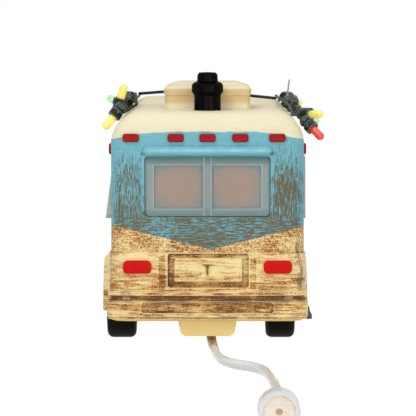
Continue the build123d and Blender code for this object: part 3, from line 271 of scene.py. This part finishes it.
# Painted shade, together with wash: faces of the pod that stand steep turn tan, and its top stays pale
slope = add_node(ware, "ShaderNodeSeparateXYZ", {0: true_normal}, out=2)
steep = add_node(ware, "ShaderNodeMapRange", {0: slope, 1: 0.75, 2: 0.35})
pod_foot, pod_side = 93.6, 95.4             # heights between which the tan sets in
on_pod = add_node(ware, "ShaderNodeMapRange", {0: z, 1: pod_foot, 2: pod_side})
pod_wash_and_shade = overlap(ware, steep, on_pod)
pod_wash_and_shade = add_node(ware, "ShaderNodeMath", {0: edge, 1: -0.8, 2: pod_wash_and_shade}, operation="MULTIPLY_ADD", use_clamp=True)
pod_tan_and_shade = add_node(
    ware, "ShaderNodeMix", {0: patch, 6: srgb("#DDBD82"), 7: srgb("#E8D09C")}, out=2, data_type="RGBA")
roof = add_node(ware, "ShaderNodeMix", {0: pod_wash_and_shade, 6: roof, 7: pod_tan_and_shade}, out=2, data_type="RGBA")

# Paint lines: a V across the rear, level along the sides; the roof line droops at the corners
v_x, v_foot, v_slope = 1.2, 38.8, 0.25      # lowest point of the V, and how it climbs
front_line = 47.9                           # height of the level line in the front half
half_width, droop, roof_foot = 37.3, 3.5, 84.9
v_side = distance(ware, x, v_x)
v_line = add_node(ware, "ShaderNodeMath", {0: v_side, 1: v_slope, 2: v_foot}, operation="MULTIPLY_ADD")
ahead = add_node(ware, "ShaderNodeMath", {0: y, 1: 0.0}, operation="GREATER_THAN")
v_line = add_node(ware, "ShaderNodeMix", {0: ahead, 2: v_line, 3: front_line}, data_type="FLOAT")
over_v = add_node(ware, "ShaderNodeMath", {0: z, 1: v_line}, operation="SUBTRACT")
over_v = add_node(ware, "ShaderNodeMath", {0: wobble, 1: 0.8, 2: over_v}, operation="MULTIPLY_ADD")
is_blue = add_node(ware, "ShaderNodeMapRange", {0: over_v, 1: 0.25, 2: 0.65})
colour = add_node(ware, "ShaderNodeMix", {0: is_blue, 6: cream, 7: blue}, out=2, data_type="RGBA")
corner = add_node(ware, "ShaderNodeMath", {0: x, 1: 1 / half_width}, operation="MULTIPLY")
corner = add_node(ware, "ShaderNodeMath", {0: corner, 1: 4.0}, operation="POWER")
over_line = add_node(ware, "ShaderNodeMath", {0: corner, 1: droop, 2: z}, operation="MULTIPLY_ADD")
over_line = add_node(ware, "ShaderNodeMath", {0: wobble, 1: 1.6, 2: over_line}, operation="MULTIPLY_ADD")
is_roof = add_node(ware, "ShaderNodeMapRange", {0: over_line, 1: roof_foot, 2: roof_foot + 0.4})
colour = add_node(ware, "ShaderNodeMix", {0: is_roof, 6: colour, 7: roof}, out=2, data_type="RGBA")

relief = add_node(ware, "ShaderNodeMath", {0: marks, 1: rubbed}, operation="SUBTRACT")
relief = add_node(ware, "ShaderNodeMix", {0: is_blue, 2: strokes, 3: relief}, data_type="FLOAT")
normal = add_node(ware, "ShaderNodeBump", {"Strength": 0.45, "Distance": 0.0004, "Height": relief})
satin = add_node(ware, "ShaderNodeMapRange", {0: stipple, 1: 0.3, 2: 0.7, 3: 0.36, 4: 0.58})
end_material(ware, {
    "Base Color": colour, "Roughness": satin, "IOR": 1.5, "Specular IOR Level": 0.2, "Normal": normal})
dress(
    ware, "body_walls", "roof_cap", "rear_bumper", "front_bumper", "rear_hatch", "entry_door",
    "side_vent", "roof_pod")

# Base plate, cord tab and wheel discs: moulded in one pale yellow vinyl, the plate pressed into the
# open underside. The moulding leaves a fine orange-peel skin and a few dark specks.
vinyl, place = start_material("pale_yellow_vinyl")
skin = add_node(vinyl, "ShaderNodeTexNoise", {"Vector": place, "Scale": 1 / 0.8, "Detail": 3})
shade = add_node(vinyl, "ShaderNodeTexNoise", {"Vector": place, "Scale": 1 / 9, "Detail": 2})
speck = add_node(vinyl, "ShaderNodeTexNoise", {"Vector": place, "Scale": 1 / 2.2, "Detail": 1})
speck = add_node(vinyl, "ShaderNodeMapRange", {0: speck, 1: 0.74, 2: 0.80})
colour = add_node(
    vinyl, "ShaderNodeMix", {0: shade, 6: srgb("#EBCB72"), 7: srgb("#F6E096")}, out=2, data_type="RGBA")
colour = add_node(vinyl, "ShaderNodeMix", {0: speck, 6: colour, 7: srgb("#7A5530")}, out=2, data_type="RGBA")
normal = add_node(vinyl, "ShaderNodeBump", {"Strength": 0.2, "Distance": 0.0002, "Height": skin})
end_material(vinyl, {"Base Color": colour, "Roughness": 0.48, "IOR": 1.53, "Normal": normal})
dress(vinyl, "base_plate", "cord_tab", "rear_discs", "front_discs")

# Rear window: one moulded insert of frosted acrylic with two sunk panes, glued in from inside.
# The frame is painted darker teal for the shade under the brow and along its foot and sides, the
# middle of each pane is painted warm for light from the shell's pale inside, and pale lines along
# the pane edges and the post are painted highlights.
frosted, place = start_material("frosted_acrylic_rear")
x = add_node(frosted, "ShaderNodeSeparateXYZ", {0: place}, out=0)
z = add_node(frosted, "ShaderNodeSeparateXYZ", {0: place}, out=2)
off_x = add_node(frosted, "ShaderNodeMath", {0: x}, operation="ABSOLUTE")
pane_inner, pane_outer = 1.5, 20.7          # a pane's edges either side of the middle
pane_foot, pane_head = 54.5, 71.3
pane_x = add_node(
    frosted, "ShaderNodeMapRange", {0: off_x, 1: pane_inner, 2: pane_outer, 3: -1.0, 4: 1.0}, clamp=False)
pane_z = add_node(
    frosted, "ShaderNodeMapRange", {0: z, 1: pane_foot, 2: pane_head, 3: -1.0, 4: 1.0}, clamp=False)
pane_x = add_node(frosted, "ShaderNodeMath", {0: pane_x}, operation="ABSOLUTE")
pane_z = add_node(frosted, "ShaderNodeMath", {0: pane_z}, operation="ABSOLUTE")
rim = add_node(frosted, "ShaderNodeMath", {0: pane_x, 1: pane_z}, operation="MAXIMUM")
round_x = add_node(frosted, "ShaderNodeMath", {0: pane_x, 1: 2.0}, operation="POWER")
round_z = add_node(frosted, "ShaderNodeMath", {0: pane_z, 1: 2.0}, operation="POWER")
from_mid = add_node(frosted, "ShaderNodeMath", {0: round_x, 1: round_z}, operation="ADD")
cloud = add_node(frosted, "ShaderNodeTexNoise", {"Vector": place, "Scale": 1 / 8, "Detail": 2})
from_mid = add_node(frosted, "ShaderNodeMath", {0: cloud, 1: 0.7, 2: from_mid}, operation="MULTIPLY_ADD")
# Painted light: the middle of each pane warms, for light from the shell's pale inside
pane_inner_light = add_node(
    frosted, "ShaderNodeMapRange", {0: from_mid, 1: 2.1, 2: 0.55}, interpolation_type="SMOOTHSTEP")
pane_tone = add_node(
    frosted, "ShaderNodeMix", {0: pane_inner_light, 6: srgb("#7E8F8D"), 7: srgb("#A48E7F")}, out=2, data_type="RGBA")
in_frame = add_node(frosted, "ShaderNodeMapRange", {0: rim, 1: 0.99, 2: 1.01})
# Painted shade: the frame darkens to teal under the brow, at its foot and at its sides
head_shadow = add_node(frosted, "ShaderNodeMapRange", {0: z, 1: 71.0, 2: 73.6})
foot_shade = add_node(frosted, "ShaderNodeMapRange", {0: z, 1: 55.5, 2: 53.0, 3: 0.0, 4: 0.5})
side = add_node(frosted, "ShaderNodeMapRange", {0: off_x, 1: 22.8, 2: 24.2, 3: 0.0, 4: 0.55})
shade = add_node(frosted, "ShaderNodeMath", {0: head_shadow, 1: foot_shade}, operation="MAXIMUM")
shade = add_node(frosted, "ShaderNodeMath", {0: shade, 1: side}, operation="MAXIMUM")
shaded_frame_tone = add_node(
    frosted, "ShaderNodeMix", {0: shade, 6: srgb("#8E9C9B"), 7: srgb("#547A7B")}, out=2, data_type="RGBA")
colour = add_node(
    frosted, "ShaderNodeMix", {0: in_frame, 6: pane_tone, 7: shaded_frame_tone}, out=2, data_type="RGBA")
# Painted highlights: pale lines along the pane edges and either side of the post
pane_highlight = distance(frosted, rim, 1.015)
pane_highlight = add_node(frosted, "ShaderNodeMapRange", {0: pane_highlight, 1: 0.035, 2: 0.012})
post_highlight = distance(frosted, off_x, 1.4)
post_highlight = add_node(frosted, "ShaderNodeMapRange", {0: post_highlight, 1: 0.40, 2: 0.15})
highlight_lines = add_node(frosted, "ShaderNodeMath", {0: pane_highlight, 1: post_highlight}, operation="MAXIMUM")
highlight_lines = add_node(frosted, "ShaderNodeMath", {0: highlight_lines, 1: 0.42}, operation="MULTIPLY")
colour = add_node(frosted, "ShaderNodeMix", {0: highlight_lines, 6: colour, 7: srgb("#BAC6C3")}, out=2, data_type="RGBA")
grain = add_node(frosted, "ShaderNodeTexNoise", {"Vector": place, "Scale": 1 / 0.4, "Detail": 2})
normal = add_node(frosted, "ShaderNodeBump", {"Strength": 0.12, "Distance": 0.0002, "Height": grain})
frosting = {
    "Roughness": 0.33, "IOR": 1.49, "Subsurface Weight": 0.3, "Subsurface Radius": (0.002, 0.002, 0.002),
    "Subsurface Scale": 1.0}
end_material(frosted, {"Base Color": colour, "Normal": normal, **frosting})
dress(frosted, "rear_window")

# Side windows, door window and windscreen: the same frosted acrylic, painted paler for the light
# that falls in from both sides. They are glued into the openings from inside.
acrylic, place = start_material("frosted_acrylic")
cloud = add_node(acrylic, "ShaderNodeTexNoise", {"Vector": place, "Scale": 1 / 8, "Detail": 2})
grain = add_node(acrylic, "ShaderNodeTexNoise", {"Vector": place, "Scale": 1 / 0.4, "Detail": 2})
colour = add_node(
    acrylic, "ShaderNodeMix", {0: cloud, 6: srgb("#A9B8B2"), 7: srgb("#CBD0C6")}, out=2, data_type="RGBA")
normal = add_node(acrylic, "ShaderNodeBump", {"Strength": 0.12, "Distance": 0.0002, "Height": grain})
end_material(acrylic, {"Base Color": colour, "Normal": normal, **frosting})
dress(acrylic, "left_windows", "right_windows", "door_window", "windscreen")

# Lamps: raised lenses painted with gloss enamel, which pools in the middle and wears at the edges.
# The roof markers are a darker red than the tail lamps; the front ones are amber and clear.


def lamp_enamel(name, deep, bright, worn):
    """Gloss enamel on a raised lens, in three shades."""
    material, place = start_material(name)
    pool = add_node(material, "ShaderNodeTexNoise", {"Vector": place, "Scale": 1 / 2.4, "Detail": 2})
    chips = add_node(material, "ShaderNodeTexNoise", {
        "Vector": place, "Scale": 1 / 0.9, "Detail": 4, "Roughness": 0.7})
    chips = add_node(material, "ShaderNodeMapRange", {0: chips, 1: 0.62, 2: 0.70, 3: 0.0, 4: 0.7})
    colour = add_node(
        material, "ShaderNodeMix", {0: pool, 6: srgb(deep), 7: srgb(bright)}, out=2, data_type="RGBA")
    colour = add_node(
        material, "ShaderNodeMix", {0: chips, 6: colour, 7: srgb(worn)}, out=2, data_type="RGBA")
    normal = add_node(material, "ShaderNodeBump", {"Strength": 0.25, "Distance": 0.0003, "Height": pool})
    end_material(material, {
        "Base Color": colour, "Roughness": 0.32, "Specular IOR Level": 0.02, "Normal": normal,
        "Coat Weight": 0.15, "Coat Roughness": 0.08})
    return material


marker_red = lamp_enamel("dark_red_enamel", "#8A0C0E", "#B01A18", "#C0564A")
tail_red = lamp_enamel("bright_red_enamel", "#C60408", "#DE1812", "#D8402E")
amber = lamp_enamel("amber_enamel", "#C2681A", "#DE8A28", "#E0B070")
pearl = lamp_enamel("pearl_enamel", "#D8D6CC", "#EEECE4", "#B8B2A2")
dress(marker_red, "rear_marker_lamps", "side_marker_lamps")
dress(tail_red, "tail_lamps")
dress(amber, "front_marker_lamps", "turn_lamps")
dress(pearl, "headlamps")

# Grille, bezels, mirrors and door handle: cast with the body's ware and picked out in silver paint,
# rubbed darker in patches, and with painted shade in the hollows.
silver, place = start_material("silver_paint")
rub = add_node(silver, "ShaderNodeTexNoise", {"Vector": place, "Scale": 1 / 1.2, "Detail": 4})
open_sky = add_node(silver, "ShaderNodeAmbientOcclusion", {"Distance": 0.002}, out="AO", samples=6)
# Painted shade: occlusion darkens the hollows, together with the rubbed patches
rub_and_shade = overlap(silver, rub, open_sky)
rub_and_shade = add_node(silver, "ShaderNodeMapRange", {0: rub_and_shade, 1: 0.45, 2: 0.25})
colour = add_node(
    silver, "ShaderNodeMix", {0: rub_and_shade, 6: srgb("#BDBBB4"), 7: srgb("#55504A")}, out=2, data_type="RGBA")
normal = add_node(silver, "ShaderNodeBump", {"Strength": 0.2, "Distance": 0.0002, "Height": rub})
end_material(silver, {"Base Color": colour, "Metallic": 0.7, "Roughness": 0.38, "Normal": normal})
dress(silver, "grille", "headlamp_bezels", "mirrors", "door_handle")

# Chimney: one turned piece stuck on the roof behind the pod. It is dipped in a thick gloss black
# glaze, which runs a little and so leaves soft waves of about 3 mm.
black, place = start_material("gloss_black_glaze")
run = add_node(black, "ShaderNodeTexNoise", {"Vector": place, "Scale": 1 / 3.5, "Detail": 2})
colour = add_node(
    black, "ShaderNodeMix", {0: run, 6: srgb("#010101"), 7: srgb("#050403")}, out=2, data_type="RGBA")
normal = add_node(black, "ShaderNodeBump", {"Strength": 0.35, "Distance": 0.0006, "Height": run})
end_material(black, {
    "Base Color": colour, "Roughness": 0.3, "Specular IOR Level": 0.0, "Normal": normal,
    "Coat Weight": 0.10, "Coat Roughness": 0.06})
dress(black, "chimney")

# Antenna and axles: drawn steel wire, with fine draw marks that vary its gloss. The antenna is stuck
# in a boss on the roof edge, and the axles are pressed into the wheel discs.
steel, place = start_material("drawn_steel")
draw = add_node(steel, "ShaderNodeTexNoise", {"Vector": place, "Scale": 1 / 0.3, "Detail": 2})
rough = add_node(steel, "ShaderNodeMapRange", {0: draw, 1: 0.3, 2: 0.7, 3: 0.25, 4: 0.45})
end_material(steel, {"Base Color": srgb("#8E9094"), "Metallic": 1.0, "Roughness": rough})
dress(steel, "antenna", "rear_axle", "front_axle")

# Light string: moulded dark green sockets on one wire, glued along the roof edges. The vinyl is
# scuffed to a paler grey-green on its ribs, and this pale also stands in as painted highlights.
pvc, place = start_material("dark_green_vinyl")
scuff = add_node(pvc, "ShaderNodeTexNoise", {"Vector": place, "Scale": 1 / 1.0, "Detail": 5, "Roughness": 0.7})
rounded = add_node(pvc, "ShaderNodeBevel", {"Radius": 0.0004}, samples=4)
true_normal = add_node(pvc, "ShaderNodeNewGeometry", out="True Normal")
turn = add_node(
    pvc, "ShaderNodeVectorMath", {0: rounded, 1: true_normal}, out="Value", operation="DOT_PRODUCT")
rib_wear_and_highlight = add_node(pvc, "ShaderNodeMapRange", {0: turn, 1: 0.99, 2: 0.90, 3: 0.0, 4: 0.28})
# Pale on the ribs: partly scuffs, partly painted highlights
worn = add_node(pvc, "ShaderNodeMath", {0: scuff, 1: rib_wear_and_highlight}, operation="ADD")
worn = add_node(pvc, "ShaderNodeMapRange", {0: worn, 1: 0.57, 2: 0.73, 3: 0.0, 4: 0.85})
colour = add_node(
    pvc, "ShaderNodeMix", {0: worn, 6: srgb("#05180F"), 7: srgb("#9CAE9E")}, out=2, data_type="RGBA")
normal = add_node(pvc, "ShaderNodeBump", {"Strength": 0.6, "Distance": 0.0006, "Height": scuff})
end_material(pvc, {"Base Color": colour, "Roughness": 0.3, "Specular IOR Level": 0.2, "Normal": normal})
dress(pvc, "sockets_left", "sockets_right")

# String wire: stranded copper in the same dark green vinyl, drawn over it in one go. It runs from
# socket to socket and across the roof, and is matt and a little dusty.
wire_vinyl, place = start_material("dark_green_wire_vinyl")
dust = add_node(wire_vinyl, "ShaderNodeTexNoise", {"Vector": place, "Scale": 1 / 1.5, "Detail": 3})
colour = add_node(
    wire_vinyl, "ShaderNodeMix", {0: dust, 6: srgb("#0A120D"), 7: srgb("#2A362E")}, out=2, data_type="RGBA")
normal = add_node(wire_vinyl, "ShaderNodeBump", {"Strength": 0.2, "Distance": 0.0002, "Height": dust})
end_material(wire_vinyl, {
    "Base Color": colour, "Roughness": 0.5, "Specular IOR Level": 0.2, "Normal": normal})
dress(wire_vinyl, "string_wire")

# Bulbs: grain bulbs of tinted glass, blown with a closed round end and pushed into the sockets.
# Drawing the glass leaves small ripples, and a painted glow stands for the light that comes through the tint.


def bulb_glass(name, tint, clear):
    """Tinted glass with ripples of about a millimetre."""
    material, place = start_material(name)
    ripple = add_node(material, "ShaderNodeTexNoise", {"Vector": place, "Scale": 1 / 1.3, "Detail": 2})
    colour = add_node(
        material, "ShaderNodeMix", {0: ripple, 6: srgb(tint), 7: srgb(clear)}, out=2, data_type="RGBA")
    normal = add_node(material, "ShaderNodeBump", {"Strength": 0.5, "Distance": 0.0005, "Height": ripple})
    # The emission is a painted glow; the bulbs are not lit
    end_material(material, {
        "Base Color": colour, "Roughness": 0.1, "IOR": 1.5, "Transmission Weight": 0.3, "Normal": normal,
        "Emission Color": colour, "Emission Strength": 0.22, "Coat Weight": 0.5, "Coat Roughness": 0.03,
        "Subsurface Weight": 0.6, "Subsurface Radius": (0.003, 0.003, 0.003), "Subsurface Scale": 1.0})
    return material


dress(bulb_glass("yellow_glass", "#E8CE10", "#FFF8A0"), "bulbs_yellow")
dress(bulb_glass("green_glass", "#9CD07A", "#E6F6D2"), "bulbs_green")
dress(bulb_glass("red_glass", "#D61C02", "#EE5428"), "bulbs_red")

# Entry step: folded grey treads between two side plates, glued on the wall under the door. The grey
# paint is rubbed pale in patches.
grey, place = start_material("grey_step_paint")
rub = add_node(grey, "ShaderNodeTexNoise", {"Vector": place, "Scale": 1 / 1.4, "Detail": 4, "Roughness": 0.65})
rubbed = add_node(grey, "ShaderNodeMapRange", {0: rub, 1: 0.5, 2: 0.7, 3: 0.0, 4: 0.7})
colour = add_node(
    grey, "ShaderNodeMix", {0: rubbed, 6: srgb("#5A5558"), 7: srgb("#9C948C")}, out=2, data_type="RGBA")
normal = add_node(grey, "ShaderNodeBump", {"Strength": 0.3, "Distance": 0.0003, "Height": rub})
end_material(grey, {"Base Color": colour, "Roughness": 0.5, "IOR": 1.5, "Normal": normal})
dress(grey, "entry_step")

# Tyres: moulded black rubber rings pressed on the discs. The mould leaves fine marks of 0.7 mm that
# lie across the tread.
rubber, place = start_material("tyre_rubber")
across_at = add_node(rubber, "ShaderNodeMapping", {"Vector": place, "Scale": (1 / 9, 1 / 0.7, 1 / 0.7)})
across = add_node(rubber, "ShaderNodeTexNoise", {"Vector": across_at, "Scale": 1, "Detail": 3})
colour = add_node(
    rubber, "ShaderNodeMix", {0: across, 6: srgb("#080604"), 7: srgb("#1E1913")}, out=2, data_type="RGBA")
normal = add_node(rubber, "ShaderNodeBump", {"Strength": 0.5, "Distance": 0.0004, "Height": across})
end_material(rubber, {
    "Base Color": colour, "Roughness": 0.62, "Specular IOR Level": 0.06, "Normal": normal})
dress(rubber, "rear_tyres", "front_tyres")

# Cord: a flat two-core lead in clear vinyl, which leaves a gland under the base and lies in an S on
# the table. Near the tab, under the model, it is painted amber for its shadow there and the
# reflected yellow of the tab; further on the vinyl is milky.
cord_route = (
    (1.0, -76.0, 7.6), (1.4, -83.0, 3.7), (1.8, -92.0, 2.15), (2.4, -106.0, 1.95), (3.4, -126.0, 1.95),
    (5.6, -142.0, 1.95), (10.0, -153.0, 1.95), (16.4, -159.0, 1.95), (20.4, -169.0, 1.95),
    (22.2, -184.0, 1.95), (23.4, -202.0, 1.95), (23.9, -222.0, 1.95), (23.4, -241.0, 2.55),
    (22.3, -261.0, 6.8), (22.3, -279.0, 6.8),
)
lobe = 0.0015               # radius of each half of the lead
apart = 0.0004              # from the middle of the lead to the middle of a half
on_edge = math.radians(75)  # how far the lead turns on edge between its ends
turn_from, turn_to, turn_over = 0.12, 0.8, 0.2      # where it does so, in shares of its length
line = bpy.data.curves.new("cord_line", "CURVE")
line.dimensions = "3D"
line.resolution_u = 10
spline = line.splines.new("NURBS")
spline.points.add(len(cord_route) - 1)
for point, (px, py, pz) in zip(spline.points, cord_route):
    point.co = (px / 1000, py / 1000, pz / 1000, 1.0)
spline.order_u = 3
spline.use_endpoint_u = True
line_object = bpy.data.objects.new("cord_line", line)
bpy.context.scene.collection.objects.link(line_object)
bpy.context.view_layer.update()
line_mesh = bpy.data.meshes.new_from_object(line_object)
cord_path = [vertex.co.copy() for vertex in line_mesh.vertices]
bpy.data.objects.remove(line_object)
half_arc = [math.radians(degrees) for degrees in range(-110, 111, 22)]
outline = [(apart + lobe * math.cos(angle), lobe * math.sin(angle)) for angle in half_arc]
outline += [(-px, -pz) for px, pz in outline]
verts, faces, around = [], [], []
last = len(cord_path) - 1
for k, here in enumerate(cord_path):
    run = (cord_path[min(k + 1, last)] - cord_path[max(k - 1, 0)]).normalized()
    across = run.cross(Vector((0, 0, 1))).normalized()
    upward = across.cross(run)
    share = k / last
    roll = on_edge * min(max(min((share - turn_from) / turn_over, (turn_to - share) / turn_over), 0), 1)
    for px, pz in outline:
        side = px * math.cos(roll) - pz * math.sin(roll)
        rise = px * math.sin(roll) + pz * math.cos(roll)
        verts.append(here + across * side + upward * rise)
        around.append(px / apart)
count = len(outline)
for k in range(last):
    for i in range(count):
        j = (i + 1) % count
        faces.append((k * count + i, k * count + j, (k + 1) * count + j, (k + 1) * count + i))
faces.append(tuple(range(count)))
faces.append(tuple(reversed(range(last * count, len(verts)))))
cord_mesh = bpy.data.meshes.new("lamp_cord")
cord_mesh.from_pydata(verts, [], faces)
cord_mesh.attributes.new("across_lead", "FLOAT", "POINT").data.foreach_set("value", around)
cord = bpy.data.objects.new("lamp_cord", cord_mesh)
bpy.context.scene.collection.objects.link(cord)
bpy.ops.object.select_all(action="DESELECT")
cord.select_set(True)
bpy.context.view_layer.objects.active = cord
bpy.ops.object.mode_set(mode="EDIT")
bpy.ops.mesh.select_all(action="SELECT")
bpy.ops.mesh.normals_make_consistent(inside=False)
bpy.ops.object.mode_set(mode="OBJECT")
bpy.ops.object.shade_smooth_by_angle(angle=math.radians(50))

lead, place = start_material("clear_vinyl_lead")
y = add_node(lead, "ShaderNodeSeparateXYZ", {0: place}, out=1)
half = add_node(lead, "ShaderNodeAttribute", out="Fac", attribute_name="across_lead")
half = add_node(lead, "ShaderNodeMath", {0: half}, operation="ABSOLUTE")
from_core = distance(lead, half, 1.0)
core = add_node(lead, "ShaderNodeMapRange", {0: from_core, 1: 0.55, 2: 0.25}, interpolation_type="SMOOTHSTEP")
strand = add_node(lead, "ShaderNodeTexNoise", {"Vector": place, "Scale": 1 / 1.6, "Detail": 3})
milky_from, amber_to = -116.0, -108.0       # the tone changes between these
# Painted shadow and reflection: amber and darker under the model, towards the tab
tab_shadow_and_reflection = add_node(lead, "ShaderNodeMapRange", {0: y, 1: milky_from, 2: amber_to})
core_tone = add_node(
    lead, "ShaderNodeMix", {0: tab_shadow_and_reflection, 6: srgb("#B4AEA6"), 7: srgb("#7E5C22")}, out=2, data_type="RGBA")
skin_tone = add_node(
    lead, "ShaderNodeMix", {0: tab_shadow_and_reflection, 6: srgb("#F0EEEC"), 7: srgb("#BE9C58")}, out=2, data_type="RGBA")
core = overlap(lead, core, strand)
colour = add_node(lead, "ShaderNodeMix", {0: core, 6: skin_tone, 7: core_tone}, out=2, data_type="RGBA")
end_material(lead, {"Base Color": colour, "Roughness": 0.2, "IOR": 1.53, "Transmission Weight": 0.06})
cord_mesh.materials.append(lead)
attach(cord, "shell")
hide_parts("power_cord")

# Connector and gland: moulded on the lead in milky vinyl, with swirls from the mould. The
# connector's round end shows a pale core and a greyer ring, and a painted glow at its hole stands
# for light coming through.
end_x, end_z = 22.3, 6.8                    # middle of the connector's round end
milky, place = start_material("milky_vinyl")
middle = add_node(milky, "ShaderNodeVectorMath", {0: place, 1: (end_x, 0, end_z)}, operation="SUBTRACT")
middle = add_node(milky, "ShaderNodeVectorMath", {0: middle, 1: (1, 0, 1)}, operation="MULTIPLY")
radius = add_node(milky, "ShaderNodeVectorMath", {0: middle}, out="Value", operation="LENGTH")
ring = add_node(milky, "ShaderNodeMapRange", {0: radius, 1: 5.45, 2: 5.85})
swirl_at = add_node(milky, "ShaderNodeMapping", {"Vector": place, "Scale": (1 / 5, 1 / 5, 1 / 3)})
swirl = add_node(milky, "ShaderNodeTexNoise", {
    "Vector": swirl_at, "Scale": 1, "Detail": 2, "Distortion": 1.5})
colour = add_node(
    milky, "ShaderNodeMix", {0: swirl, 6: srgb("#D9C9B4"), 7: srgb("#F4EEE4")}, out=2, data_type="RGBA")
colour = add_node(milky, "ShaderNodeMix", {0: ring, 6: colour, 7: srgb("#D8D7D7")}, out=2, data_type="RGBA")
painted_glow = add_node(milky, "ShaderNodeMapRange", {0: radius, 1: 1.35, 2: 1.15, 3: 0.0, 4: 0.2})
normal = add_node(milky, "ShaderNodeBump", {"Strength": 0.3, "Distance": 0.0006, "Height": swirl})
end_material(milky, {
    "Base Color": colour, "Roughness": 0.3, "IOR": 1.53, "Normal": normal, "Emission Color": colour,
    "Emission Strength": painted_glow})
dress(milky, "cord_gland", "cord_connector")

# Studio: a white paper floor in a white room, which the camera, gloss and glass see as plain white.
# Four soft lamps stand round the rear and above, and the camera is low behind the model.


def seen_white(owner):
    """1 for the rays that see the studio as plain white, and 0 for those that light the model."""
    seen = add_node(owner, "ShaderNodeLightPath", out="Is Camera Ray")
    for kind in ("Is Glossy Ray", "Is Transmission Ray"):
        other = add_node(owner, "ShaderNodeLightPath", out=kind)
        seen = add_node(owner, "ShaderNodeMath", {0: seen, 1: other}, operation="MAXIMUM")
    return seen


bpy.ops.object.select_all(action="DESELECT")
bpy.ops.mesh.primitive_plane_add(size=40.0, location=(0, 0, 0))
floor = bpy.context.object
floor.name = "studio_floor"
paper = start_material("white_paper_floor")[0]
plain_white = 0.97                          # the rest keeps a trace of the contact shadow
seen = add_node(paper, "ShaderNodeMath", {0: seen_white(paper), 1: plain_white}, operation="MULTIPLY")
matt = add_node(paper, "ShaderNodeBsdfDiffuse", {"Color": srgb("#F4F4F4")})
white = add_node(paper, "ShaderNodeEmission", {"Strength": 1.03})
both = add_node(paper, "ShaderNodeMixShader", {0: seen, 1: matt, 2: white})
add_node(paper, "ShaderNodeOutputMaterial", {"Surface": both})
floor.data.materials.append(paper)

world = bpy.data.worlds.new("studio")
world.use_nodes = True
world.node_tree.nodes.clear()
dim = add_node(world, "ShaderNodeBackground", {"Strength": 0.45})
bright = add_node(world, "ShaderNodeBackground", {"Color": (1, 1, 1, 1), "Strength": 1.0})
both = add_node(world, "ShaderNodeMixShader", {0: seen_white(world), 1: dim, 2: bright})
add_node(world, "ShaderNodeOutputWorld", {"Surface": both})
bpy.context.scene.world = world

# name, place, size, watts
lamps = (
    ("key", (-0.45, -0.75, 0.95), 0.5, 4.5),
    ("fill", (0.55, -0.95, 0.35), 0.6, 2.4),
    ("low", (-0.15, -1.15, 0.16), 0.7, 1.9),
    ("top", (0.0, 0.10, 1.20), 0.7, 2.6),
)
lamp_aim = Vector((0, 0, 0.05))
for name, spot, size, watts in lamps:
    light = bpy.data.lights.new(name, "AREA")
    light.size = size
    light.energy = watts
    lamp = bpy.data.objects.new(name, light)
    lamp.location = spot
    lamp.rotation_euler = (lamp_aim - Vector(spot)).to_track_quat("-Z", "Y").to_euler()
    bpy.context.scene.collection.objects.link(lamp)

tilt_down = 4.43                            # degrees below level
camera_data = bpy.data.cameras.new("camera")
camera_data.lens = 226.1
camera_data.sensor_width = 36.0
camera_data.clip_start = 0.01
camera = bpy.data.objects.new("camera", camera_data)
camera.location = (0.0002, -1.1, 0.1326)
camera.rotation_euler = (math.radians(90 - tilt_down), 0, 0)
bpy.context.scene.collection.objects.link(camera)
bpy.context.scene.camera = camera
bpy.context.scene.view_settings.view_transform = "Standard"
